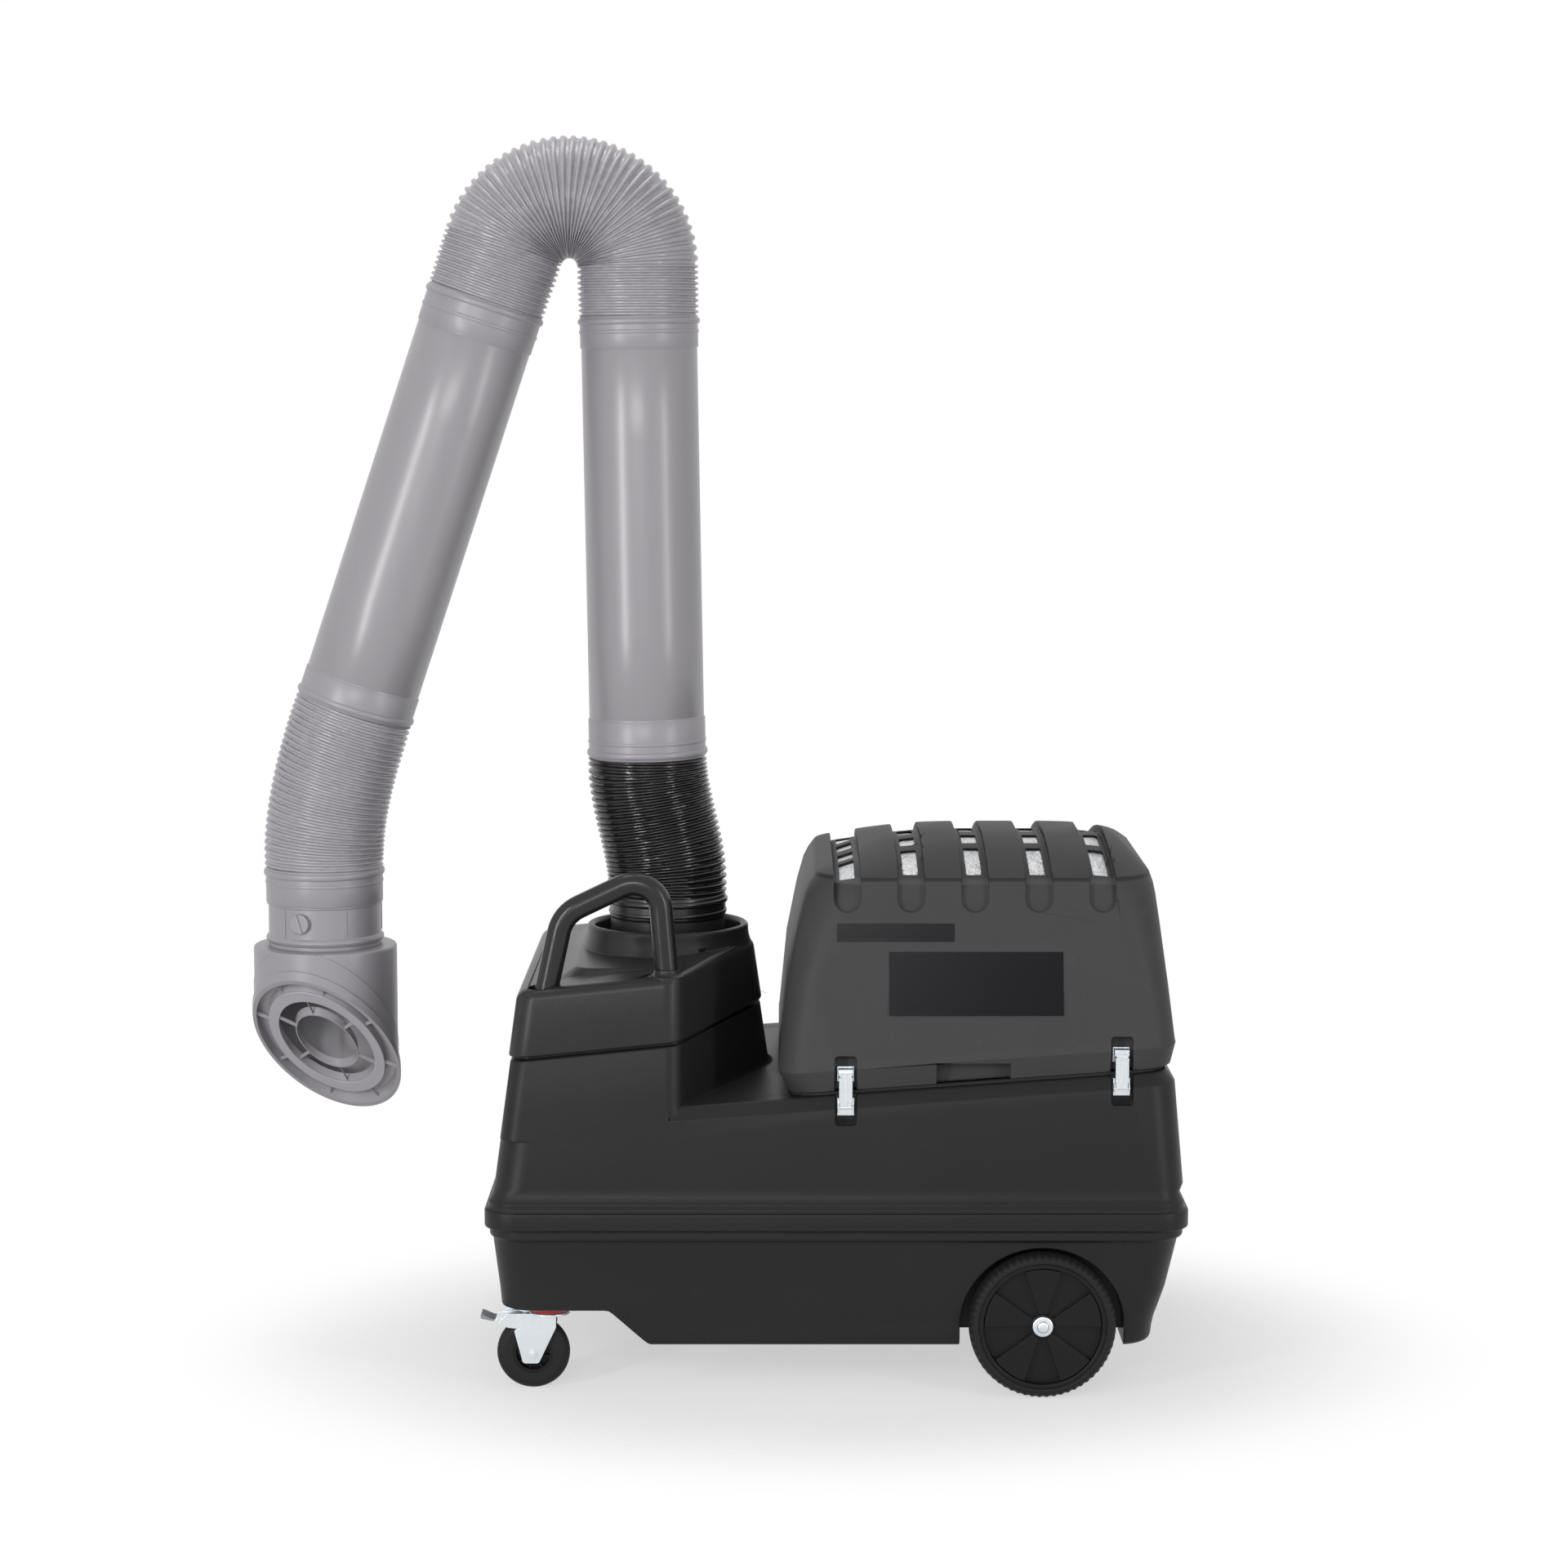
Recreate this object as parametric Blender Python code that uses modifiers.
"""Mobile welding fume extractor: a wheeled filter cabinet with a jointed extraction arm.

Metres, +Z up, floor at z = 0, origin under the middle of the overall box.
The near side is -Y, and the big wheels are at the +X end.
"""
import math

import bmesh
import bpy
from mathutils import Matrix, Vector

# General
GAP = 0.0003
OVERRUN = 0.02
FLAT_ENOUGH = math.radians(0.005)
CORNER_STEPS = 3
ROUND_STEPS = 20
FINE_STEPS = 26
SMALL_STEPS = 10
PIN_STEPS = 6

# Cabinet, seen from above
BODY_LENGTH = 1.198
BODY_WIDTH = 0.810
COLLAR_FROM_LEFT = 0.303
BODY_CORNER = 0.055
SHELL_WALL = 0.005

# Belt and walls of the upper shell
BELT_BOTTOM = 0.2895
BELT_HEIGHT = 0.032
BELT_EDGE = 0.004
LEDGE_RISE = 0.016
LEDGE_SET_BACK = 0.007
WALL_FOOT = 0.362
WALL_SET_BACK_LEFT = 0.017
WALL_SET_BACK_RIGHT = 0.008
WALL_SET_BACK_SIDE = 0.015
LEFT_LEAN_SHARE = 0.134
RIGHT_LEAN_SHARE = 0.081
SIDE_LEAN_SHARE = 0.111

# Sloping deck behind the pedestal
DECK_LOW = 0.496
DECK_LOW_FROM_COLLAR = 0.016
DECK_RISE_SHARE = 0.072
DECK_CHAMFER_DROP = 0.022
DECK_CHAMFER_RUN = 0.014

# Pedestal under the arm, with a rounded nose round the collar axis
PEDESTAL_FOOT = 0.440
PEDESTAL_TOP_LEFT = 0.574
PEDESTAL_RISE_SHARE = 0.098
PEDESTAL_EDGE = 0.004
PEDESTAL_CORNER = 0.034
ELBOW_OF_WALL_FROM_COLLAR = 0.027
NOSE_RADIUS = 0.176
NOSE_RADIUS_HEIGHT = 0.530
NOSE_LEAN_SHARE = 0.145
NOSE_STEPS = 8
LIP_SET_BACK = 0.012
LIP_HEIGHT = 0.0055
LIP_WIDTH = 0.006

# Cap on the pedestal
CAP_OVERHANG = 0.004
CAP_HEIGHT = 0.112
CAP_EDGE = 0.018
CAP_BASE_EDGE = 0.004
CAP_WALL = 0.006
CAP_ROOF = 0.042
PLATEAU_TOP = 0.716
PLATEAU_LEFT = 0.152
PLATEAU_RIGHT = 0.060
PLATEAU_HALF_WIDTH = 0.250
PLATEAU_SLOPE_RUN = 0.045
PLATEAU_SLOPE_DROP = 0.030
PLATEAU_CORNER = 0.030
COLLAR_RADIUS = 0.143
COLLAR_BORE = 0.129
COLLAR_TOP = 0.758
COLLAR_LIP = 0.004
COLLAR_WAIST_HEIGHT = 0.738
COLLAR_FLARE_RADIUS = 0.150
COLLAR_FLARE_HEIGHT = 0.712
COLLAR_SEAT = 0.700
COLLAR_SEAT_THICKNESS = 0.006
DUCT_BORE = 0.090
DUCT_FLANGE_WIDTH = 0.014

# Tub, the lower shell
TUB_TOP_GAP = 0.0005
TUB_RIM_SET_BACK = 0.008
TUB_RIM_HEIGHT = 0.016
TUB_WALL_SET_BACK_LEFT = 0.013
TUB_WALL_SET_BACK_RIGHT = 0.016
TUB_WALL_SET_BACK_SIDE = 0.018
TUB_MIDDLE = 0.180
TUB_MIDDLE_IN_LEFT = 0.010
TUB_MIDDLE_IN_RIGHT = 0.019
TUB_MIDDLE_IN_SIDE = 0.009
TUB_LOW = 0.110
TUB_LOW_IN_LEFT = 0.016
TUB_LOW_IN_RIGHT = 0.042
TUB_LOW_IN_SIDE = 0.018
TUB_BOTTOM = 0.083
TUB_BOTTOM_EDGE = 0.013
TUB_CORNER = 0.060
RAMP_TOP = 0.1455
RAMP_START_FROM_COLLAR = -0.092
RAMP_END_FROM_COLLAR = -0.022

# Big wheels, on one axle
WHEEL_FROM_COLLAR = 0.646
WHEEL_RADIUS = 0.125
WHEEL_WIDTH = 0.046
WHEEL_OUTER_FACE = 0.403
TREAD_DEPTH = 0.0035
TREAD_WIDTH = 0.030
TYRE_BORE = 0.108
TYRE_SHOULDER = 0.117
HUB_RIM_DEPTH = 0.007
HUB_WEB_DEPTH = 0.016
HUB_WEB_THICKNESS = 0.005
HUB_WEDGES = 5
WEDGE_HALF_ANGLE = math.radians(18)
WEDGE_DEPTH = 0.003
HUB_BOSS_RADIUS = 0.021
AXLE_RADIUS = 0.010
AXLE_OVERHANG = 0.004
WASHER_RADIUS = 0.017
WASHER_THICKNESS = 0.003
BOLT_RADIUS = 0.0105
BOLT_HEIGHT = 0.006
ARCH_RADIUS = 0.1395
ARCH_CENTRE_HEIGHT = 0.118
ARCH_DEPTH = 0.066
AXLE_TUNNEL_TOP = 0.107

# Castors
CASTOR_FROM_COLLAR = -0.195
CASTOR_Y = 0.322
CASTOR_TRAIL = 0.028
CASTOR_RADIUS = 0.0625
CASTOR_WIDTH = 0.036
CASTOR_TYRE_BORE = 0.034
CASTOR_TYRE_EDGE = 0.010
CASTOR_HUB_WEB = 0.012
CASTOR_HUB_RIM = 0.006
CASTOR_HUB_BOSS = 0.013
CASTOR_HUB_BOSS_WIDTH = 0.040
CASTOR_AXLE = 0.005
CASTOR_PLATE_LENGTH = 0.104
CASTOR_PLATE_WIDTH = 0.080
CASTOR_PLATE_THICKNESS = 0.0025
CASTOR_PLATE_CORNER = 0.008
CASTOR_HEAD_RADIUS = 0.031
CASTOR_HEAD_HEIGHT = 0.008
FORK_CROWN_RADIUS = 0.036
FORK_CROWN_THICKNESS = 0.004
FORK_SHEET = 0.003
FORK_CLEARANCE = 0.003
FORK_FOOT_BELOW = 0.016
FORK_FOOT_HALF = 0.013
FORK_BACK = 0.019
FORK_FRONT_TOP = 0.042
FORK_FRONT_RISE = 0.054
PEDAL_REACH = 0.117
PEDAL_PAD_LENGTH = 0.025
PEDAL_PAD_TOP = 0.131
PEDAL_PAD_THICKNESS = 0.011
PEDAL_ARM_THICKNESS = 0.004
PEDAL_WIDTH = 0.040
PEDAL_PIN = 0.0013
PEDAL_PIVOT_OFFSET = 0.042
PEDAL_PIVOT_HEIGHT = 0.1275

# Push handle, on the near side of the cap
HANDLE_RADIUS = 0.020
HANDLE_Y = 0.322
HANDLE_LEFT_FOOT_X = -0.194
HANDLE_LEFT_FOOT_Z = 0.701
HANDLE_LEFT_BEND_X = -0.168
HANDLE_LEFT_BEND_Z = 0.820
HANDLE_RIGHT_BEND_X = -0.007
HANDLE_RIGHT_BEND_Z = 0.897
HANDLE_RIGHT_FOOT_X = 0.008
HANDLE_RIGHT_FOOT_Z = 0.716
HANDLE_LEFT_BEND_RADIUS = 0.062
HANDLE_RIGHT_BEND_RADIUS = 0.046
HANDLE_SOCKET_DEPTH = 0.030
HANDLE_RESOLUTION = 3

# Filter hood on the deck
HOOD_LEFT_FROM_COLLAR = 0.214
HOOD_RIGHT_FROM_COLLAR = 0.858
HOOD_HALF_WIDTH = 0.355
HOOD_SEAT_GAP = 0.006
HOOD_CORNER = 0.052
BAND_HEIGHT = 0.038
BAND_FLARE_LEFT = 0.017
BAND_FLARE_RIGHT = 0.006
BAND_FLARE_SIDE = 0.012
HOOD_WAIST = 0.700
HOOD_SHOULDER = 0.862
HOOD_BREAK = 0.880
HOOD_RIDGE = 0.9345
HOOD_LEFT_LEAN_SHARE = 0.150
HOOD_RIGHT_LEAN_SHARE = 0.135
HOOD_SIDE_LEAN_SHARE = 0.205
HOOD_WALL_IN = 0.008
HOOD_ROOF_IN = 0.017
ROOF_RISE_AND_END_SHARES = ((0.02, 0.0), (0.20, 0.07), (0.50, 0.16), (0.80, 0.25), (0.97, 0.40))
CHANNELS = 5
CHANNEL_PITCH = 0.1085
CHANNEL_MIDDLE_FROM_COLLAR = 0.5316
CHANNEL_WIDTH = 0.0463
CHANNEL_BOTTOM = 0.823
CHANNEL_WALL_IN = 0.004
CHANNEL_ROOF_IN = 0.012
CHANNEL_STEPS = 4
VENT_WIDTH = 0.026
VENT_LONG = (0.133, 0.262)
VENT_SHORT = (0.025, 0.098)
MESH_THICKNESS = 0.002
MESH_SKIRT = 0.045
GRIP_WIDTH = 0.125
GRIP_DEPTH = 0.020
GRIP_HEIGHT = 0.032
GRIP_FROM_COLLAR = 0.528
SEAL_WIDTH = 0.009
SEAL_SET_BACK = 0.0005
FILTER_OPENING_MARGIN = 0.055
FILTER_FLANGE = 0.010
FILTER_FLANGE_THICKNESS = 0.004
FILTER_DEPTH = 0.110
PLEATS = 9
PLEAT_DEPTH = 0.022

# Hinge of the hood, on the far side
HINGE_Y = 0.391
HINGE_RISE = 0.010
HINGE_ROD = 0.003
HINGE_KNUCKLE = 0.0058
HINGE_LENGTH = 0.070
HINGE_SPREAD = 0.190
HINGE_LEAF = 0.004

# Latches on the near side
LATCHES_FROM_COLLAR = (0.3116, 0.779)
POCKET_WIDTH = 0.037
POCKET_BELOW = 0.050
POCKET_ABOVE = 0.060
POCKET_DEPTH = 0.016
POCKET_WALL = 0.004
LATCH_PLATE = 0.0016
LATCH_WIDTH = 0.029
LATCH_BASE_HEIGHT = 0.030
LATCH_BASE_DROP = 0.036
LATCH_CATCH_HEIGHT = 0.026
LATCH_CATCH_RISE = 0.016
LATCH_CATCH_DEPTH = 0.0045
LEVER_WIDTH = 0.022
LEVER_THICKNESS = 0.004
LEVER_LENGTH = 0.064
LEVER_PIVOT_DROP = 0.022
LEVER_PIVOT_RADIUS = 0.0022
LATCH_FACE = 0.3655

# Fan under the filter
FAN_FROM_COLLAR = 0.330
MOTOR_RADIUS = 0.085
MOTOR_HEIGHT = 0.165
MOTOR_FLANGE = 0.100
MOTOR_FLANGE_THICKNESS = 0.008
MOTOR_FINS = 1
FIN_DEPTH = 0.006
SCROLL_RADIUS = 0.150
SCROLL_GROWTH = 0.075
SCROLL_HEIGHT = 0.105
SCROLL_WALL = 0.004
SCROLL_INLET = 0.085
SCROLL_OUTLET_LENGTH = 0.200
IMPELLER_RADIUS = 0.125
IMPELLER_INNER = 0.078
IMPELLER_HEIGHT = 0.070
IMPELLER_DISC = 0.003
IMPELLER_BLADES = 6
IMPELLER_HUB = 0.024
SHAFT_RADIUS = 0.008
BLADE_THICKNESS = 0.003

# Control panel on the far wall
PANEL_FROM_COLLAR = -0.130
PANEL_LENGTH = 0.170
PANEL_HEIGHT = 0.100
PANEL_MIDDLE = 0.455
PANEL_THICKNESS = 0.004
PANEL_CORNER = 0.010
ROCKER_WIDTH = 0.026
ROCKER_HEIGHT = 0.022
ROCKER_DEPTH = 0.012
ROCKER_SLOT_CLEARANCE = 0.0015
ROCKER_PIN = 0.001
ROCKER_PIN_REACH = 0.002
BUTTON_RADIUS = 0.011
BUTTON_DEPTH = 0.016
BUTTON_PROUD = 0.006
LAMP_RADIUS = 0.007
SOCKET_WIDTH = 0.050
SOCKET_HEIGHT = 0.034
SOCKET_DEPTH = 0.024
PANEL_PITCH = 0.042
PANEL_PLACE_SHARES = {"rocker": -1.4, "button": -0.5, "lamp": 0.1, "socket": 1.15}
PIN_RADIUS = 0.0025
PIN_PITCH = 0.009
PIN_LENGTH = 0.014

# Extraction arm
TUBE_RADIUS = 0.1015
TUBE_WALL = 0.002
INNER_TILT = math.radians(0.9)
OUTER_TILT = math.radians(18.5)
ELBOW_FROM_COLLAR = -0.168
ELBOW_HEIGHT = 1.915
ELBOW_BEND = 0.1195
ELBOW_PIVOT_RISE = 0.048
INNER_HOSE_STRAIGHT = 0.087
OUTER_HOSE_STRAIGHT = 0.100
INNER_TUBE_LENGTH = 0.650
OUTER_TUBE_LENGTH = 0.639
TOP_CUFF_INNER = 0.056
TOP_CUFF_OUTER = 0.0686
LOW_CUFF_INNER = 0.070
LOW_CUFF_OUTER = 0.052
CUFF_OVERLAP = 0.024
CUFF_WALL = 0.0015
CUFF_BEAD = 0.004
CUFF_BEAD_WIDTH = 0.010
TURNTABLE_FLANGE = 0.122
TURNTABLE_FLANGE_THICKNESS = 0.008
TURNTABLE_TOP = 0.790
BASE_CUFF_BOTTOM = 0.770
BASE_CUFF_TOP = 0.812
SHOULDER_FROM_COLLAR = -0.018
SHOULDER_HEIGHT = 0.930
WRIST_HOSE_END = 0.860
NOZZLE_FROM_COLLAR = -0.611
WRIST_CUFF_BOTTOM = 0.797

# Hose forms: a crest and a valley for each rib
HOSE_CREST = 0.107
HOSE_VALLEY = 0.101
HOSE_BORE = 0.095
BASE_HOSE_RIBS = 18
ELBOW_HOSE_RIBS = 34
WRIST_HOSE_RIBS = 18
HOSE_RESOLUTION = 2
HOSE_END_STRAIGHT = 0.010

# Support bars inside the arm
BAR_WIDTH = 0.024
BAR_INNER_Y = 0.0005
BAR_OUTER_Y = 0.0105
BAR_PIN = 0.006
CROSS_PIN = 0.006
CROSS_PIN_INSET = 0.040

# Suction nozzle
NECK_RADIUS = 0.0995
NECK_WALL = 0.003
NECK_BEAD = 0.003
NECK_BEAD_HEIGHT = 0.008
NOZZLE_TOP = 0.7185
NOZZLE_RADIUS = 0.1267
NOZZLE_WALL = 0.003
NOZZLE_MOUTH_HEIGHT = 0.534
NOZZLE_MOUTH_SLOPE_SHARE = 1.05
NOZZLE_TURN = math.radians(18)
NOZZLE_LIP = 0.0043
NOZZLE_LIP_DEPTH = 0.012
NOZZLE_EDGE = 0.005
GUARD_RING_OUTER = 0.1025
GUARD_RING_INNER = 0.0845
GUARD_EYE_OUTER = 0.055
GUARD_EYE_INNER = 0.051
GUARD_SPOKES = 6
GUARD_SPOKE = 0.002
GUARD_THICKNESS = 0.012
GUARD_RECESS = 0.003
DAMPER_HEIGHT = 0.768
DAMPER_SPINDLE = 0.004
DAMPER_BLADE_THICKNESS = 0.002
DAMPER_BLADE_HALF = 0.060
DAMPER_CLEARANCE = 0.003
DAMPER_KNOB_RADIUS = 0.013
DAMPER_KNOB_DEPTH = 0.010
DAMPER_GRIP = 0.004
DAMPER_GRIP_DEPTH = 0.008

# Colours
SHELL_BLACK = (0.036, 0.036, 0.038)
HOOD_BLACK = (0.045, 0.045, 0.047)
RUBBER_BLACK = (0.020, 0.020, 0.021)
HOSE_BLACK = (0.022, 0.023, 0.026)
ARM_GREY = (0.30, 0.295, 0.305)
HOSE_GREY = (0.33, 0.325, 0.335)
ZINC = (0.70, 0.73, 0.75)
FILTER_SILVER = (0.55, 0.55, 0.55)
FAN_GREY = (0.35, 0.36, 0.38)

# Places that follow from the sizes above
NOZZLE_REACH = -NOZZLE_FROM_COLLAR + NOZZLE_RADIUS + NOZZLE_LIP
COLLAR_X = (NOZZLE_REACH - (BODY_LENGTH - COLLAR_FROM_LEFT)) / 2
BODY_LEFT = COLLAR_X - COLLAR_FROM_LEFT
BODY_RIGHT = BODY_LEFT + BODY_LENGTH
BODY_HALF = BODY_WIDTH / 2
BELT_TOP = BELT_BOTTOM + BELT_HEIGHT

parts = bpy.data.collections.new("fume_extractor")
cutters = bpy.data.collections.new("cutters")


def clear_scene():
    for old in list(bpy.data.objects):
        bpy.data.objects.remove(old, do_unlink=True)
    for collection in (parts, cutters):
        bpy.context.scene.collection.children.link(collection)


def look(name, colour, roughness=0.6, metallic=0.0):
    """A Principled material with the part's colour and gloss."""
    material = bpy.data.materials.new(name)
    material.use_nodes = True
    shader = material.node_tree.nodes["Principled BSDF"]
    shader.inputs["Base Color"].default_value = (*colour, 1)
    shader.inputs["Roughness"].default_value = roughness
    shader.inputs["Metallic"].default_value = metallic
    return material


def place(name, mesh, colour=None, roughness=0.6, metallic=0.0):
    """Puts a mesh in the scene: a part where it has a colour, and otherwise a cutter."""
    obj = bpy.data.objects.new(name, mesh)
    if colour is None:
        cutters.objects.link(obj)
        obj.hide_render = True
        obj.display_type = "WIRE"
    else:
        parts.objects.link(obj)
        mesh.materials.append(look(name, colour, roughness, metallic))
    return obj


def mesh_of(name, bm):
    bmesh.ops.recalc_face_normals(bm, faces=bm.faces)
    mesh = bpy.data.meshes.new(name)
    bm.to_mesh(mesh)
    bm.free()
    return mesh


def smooth(obj, angle=math.radians(35)):
    obj.data.shade_smooth()
    obj.data.set_sharp_from_angle(angle=angle)
    return obj


def combine(obj, other, operation="DIFFERENCE"):
    """Cuts other out of obj, or joins it to obj, with a Boolean modifier."""
    step = obj.modifiers.new(operation.lower(), "BOOLEAN")
    step.operation = operation
    step.solver = "EXACT"
    step.object = other
    return obj


def rounded(corners):
    """An outline with round corners, from (x, y, radius, steps) corners that run anticlockwise."""
    points = []
    for i, (x, y, radius, steps) in enumerate(corners):
        here = Vector((x, y))
        back = (Vector(corners[i - 1][:2]) - here).normalized()
        ahead = (Vector(corners[(i + 1) % len(corners)][:2]) - here).normalized()
        half = back.angle(ahead) / 2
        centre = here + (back + ahead).normalized() * radius / math.sin(half)
        start = here + back * radius / math.tan(half) - centre
        turn = math.pi - 2 * half
        for k in range(steps + 1):
            spin = Matrix.Rotation(turn * k / steps, 2)
            points.append(centre + spin @ start)
    return points


def rectangle(left, right, front, back, radius, steps=CORNER_STEPS):
    return rounded([(left, front, radius, steps), (right, front, radius, steps),
                    (right, back, radius, steps), (left, back, radius, steps)])


def lift(outline, height):
    """Puts an outline at a height, which is a number or a function of x."""
    if callable(height):
        return [Vector((p.x, p.y, height(p.x))) for p in outline]
    return [Vector((p.x, p.y, height)) for p in outline]


def loft(name, rings, *finish):
    """A closed solid through rings that have equal numbers of points."""
    bm = bmesh.new()
    loops = [[bm.verts.new(p) for p in ring] for ring in rings]
    for low, high in zip(loops, loops[1:]):
        for i in range(len(low)):
            j = (i + 1) % len(low)
            bm.faces.new((low[i], low[j], high[j], high[i]))
    bm.faces.new(list(reversed(loops[0])))
    bm.faces.new(loops[-1])
    bmesh.ops.connect_verts_nonplanar(bm, angle_limit=FLAT_ENOUGH, faces=bm.faces)
    return place(name, mesh_of(name, bm), *finish)


def upright(name, outline, low, high, *finish):
    """An outline in plan, drawn up from low to high."""
    return loft(name, [lift(outline, low), lift(outline, high)], *finish)


def across(name, outline, front, back, *finish):
    """An outline of (x, z) points, drawn along Y from front to back."""
    rings = [[Vector((p[0], y, p[1])) for p in outline] for y in (front, back)]
    return loft(name, rings, *finish)


def turned(name, profile, steps, *finish, closed=True):
    """A turned shape round Z. The (radius, height) profile runs down its outer side."""
    mesh = bpy.data.meshes.new(name)
    count = len(profile)
    edges = [(i, i + 1) for i in range(count - 1)]
    if closed:
        edges.append((count - 1, 0))
    mesh.from_pydata([(r, 0, z) for r, z in profile], edges, [])
    obj = place(name, mesh, *finish)
    screw = obj.modifiers.new("turn", "SCREW")
    screw.steps = steps
    screw.render_steps = steps
    screw.use_merge_vertices = True
    screw.merge_threshold = 0.0001
    return obj


def pipe(name, outer, inner, low, high, steps, *finish):
    profile = [(outer, high), (outer, low), (inner, low), (inner, high)]
    return turned(name, profile, steps, *finish)


def rod(name, radius, length, steps, *finish):
    """A cylinder along Z, centred on its origin."""
    bm = bmesh.new()
    bmesh.ops.create_cone(bm, cap_ends=True, segments=steps, radius1=radius, radius2=radius,
                          depth=length)
    return place(name, mesh_of(name, bm), *finish)


def clear_of(radius, steps, gap=GAP):
    """Radius of a round hole whose flat facets stay a gap away from a pin."""
    return (radius + gap) / math.cos(math.pi / steps)


def block(name, low, high, *finish):
    """A box between two corners."""
    low, high = Vector(low), Vector(high)
    bm = bmesh.new()
    bmesh.ops.create_cube(bm, size=1)
    bmesh.ops.scale(bm, vec=high - low, verts=bm.verts)
    bmesh.ops.translate(bm, vec=(low + high) / 2, verts=bm.verts)
    return place(name, mesh_of(name, bm), *finish)


def along_y(obj, x, y, z):
    """Turns a shape that was made round Z so that it lies along Y."""
    obj.rotation_euler = (-math.pi / 2, 0, 0)
    obj.location = (x, y, z)
    return obj


def solid_of(curve, *finish):
    """Makes a filled curve a closed mesh object of the same name."""
    bpy.context.view_layer.update()
    name = curve.name
    graph = bpy.context.evaluated_depsgraph_get()
    mesh = bpy.data.meshes.new_from_object(curve.evaluated_get(graph))
    bm = bmesh.new()
    bm.from_mesh(mesh)
    bmesh.ops.remove_doubles(bm, verts=bm.verts, dist=GAP / 3)
    matrix = curve.matrix_world.copy()
    bpy.data.objects.remove(curve, do_unlink=True)
    mesh = mesh_of(name, bm)
    mesh.materials.clear()
    obj = place(name, mesh, *finish)
    obj.name = name
    obj.matrix_world = matrix
    return obj


def swept(name, route, radii, resolution):
    """A round section along a route of points, with a radius at each point."""
    curve = bpy.data.curves.new(name, "CURVE")
    curve.dimensions = "3D"
    curve.bevel_depth = 1
    curve.bevel_resolution = resolution
    curve.use_fill_caps = True
    curve.twist_mode = "MINIMUM"
    spline = curve.splines.new("POLY")
    spline.points.add(len(route) - 1)
    for point, place_here, radius in zip(spline.points, route, radii):
        point.co = (*place_here, 1)
        point.radius = radius
    obj = bpy.data.objects.new(name, curve)
    cutters.objects.link(obj)
    return obj


def in_plane(x, z, y=0):
    return Vector((x, y, z))


def bent(corners, radii, steps=8):
    """A route in the XZ plane through corner points, with each corner rounded."""
    route = [corners[0]]
    for before, here, after, radius in zip(corners, corners[1:], corners[2:], radii):
        back, ahead = (before - here).normalized(), (after - here).normalized()
        half = back.angle(ahead) / 2
        centre = here + (back + ahead).normalized() * radius / math.sin(half)
        start = here + back * radius / math.tan(half) - centre
        end = here + ahead * radius / math.tan(half) - centre
        turn = start.angle(end)
        axis = start.cross(end).normalized()
        for k in range(steps + 1):
            route.append(centre + Matrix.Rotation(turn * k / steps, 3, axis) @ start)
    route.append(corners[-1])
    return route


def even(route, count):
    """Count points at equal distances along a route."""
    lengths = [0]
    for a, b in zip(route, route[1:]):
        lengths.append(lengths[-1] + (b - a).length)
    found, leg = [], 0
    for k in range(count):
        want = lengths[-1] * k / (count - 1)
        while leg < len(route) - 2 and lengths[leg + 1] < want:
            leg += 1
        share = (want - lengths[leg]) / (lengths[leg + 1] - lengths[leg])
        found.append(route[leg].lerp(route[leg + 1], share))
    return found


def eased(start, start_way, end, end_way, steps=40):
    """A smooth curve from start to end, with a short straight at each end along the given ways."""
    first, last = start + start_way * HOSE_END_STRAIGHT, end - end_way * HOSE_END_STRAIGHT
    pull = (last - first).length / 3
    a, b = first + start_way * pull, last - end_way * pull
    route = [start]
    for k in range(steps + 1):
        t = k / steps
        u = 1 - t
        route.append(first * u ** 3 + a * 3 * u * u * t + b * 3 * u * t * t + last * t ** 3)
    return route + [end]


def ribbed(name, route, ribs, colour):
    """A flexible hose with a crest for each rib and a plain bore, which has a point for two ribs."""
    rings = even(route, 2 * ribs + 1)
    radii = [HOSE_CREST if k % 2 else HOSE_VALLEY for k in range(len(rings))]
    hose = solid_of(swept(name, rings, radii, HOSE_RESOLUTION), colour, 0.35)
    bore = even(route, ribs // 2 + 1)
    first, last = (bore[0] - bore[1]).normalized(), (bore[-1] - bore[-2]).normalized()
    bore[0] = bore[0] + first * OVERRUN
    bore[-1] = bore[-1] + last * OVERRUN
    hollow = swept(name + "_bore", bore, [HOSE_BORE] * len(bore), HOSE_RESOLUTION)
    return combine(hose, solid_of(hollow))


def wall_left(z):
    return BODY_LEFT + WALL_SET_BACK_LEFT + LEFT_LEAN_SHARE * (z - WALL_FOOT)


def wall_right(z):
    return BODY_RIGHT - WALL_SET_BACK_RIGHT - RIGHT_LEAN_SHARE * (z - WALL_FOOT)


def wall_half(z):
    return BODY_HALF - WALL_SET_BACK_SIDE - SIDE_LEAN_SHARE * (z - WALL_FOOT)


def deck(x):
    """Height of the sloping deck."""
    return DECK_LOW + DECK_RISE_SHARE * (x - COLLAR_X - DECK_LOW_FROM_COLLAR)


def pedestal_top(x):
    return PEDESTAL_TOP_LEFT + PEDESTAL_RISE_SHARE * (x - wall_left(PEDESTAL_TOP_LEFT))


def hood_seat(x):
    """Height of the hood's lower rim."""
    return deck(x) + HOOD_SEAT_GAP


def body_ring(left, right, side, z, inset=0):
    """A ring of the cabinet, set back from the belt's outline."""
    outline = rectangle(BODY_LEFT + left + inset, BODY_RIGHT - right - inset,
                        side + inset - BODY_HALF, BODY_HALF - side - inset,
                        BODY_CORNER - inset)
    return lift(outline, z)


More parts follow.
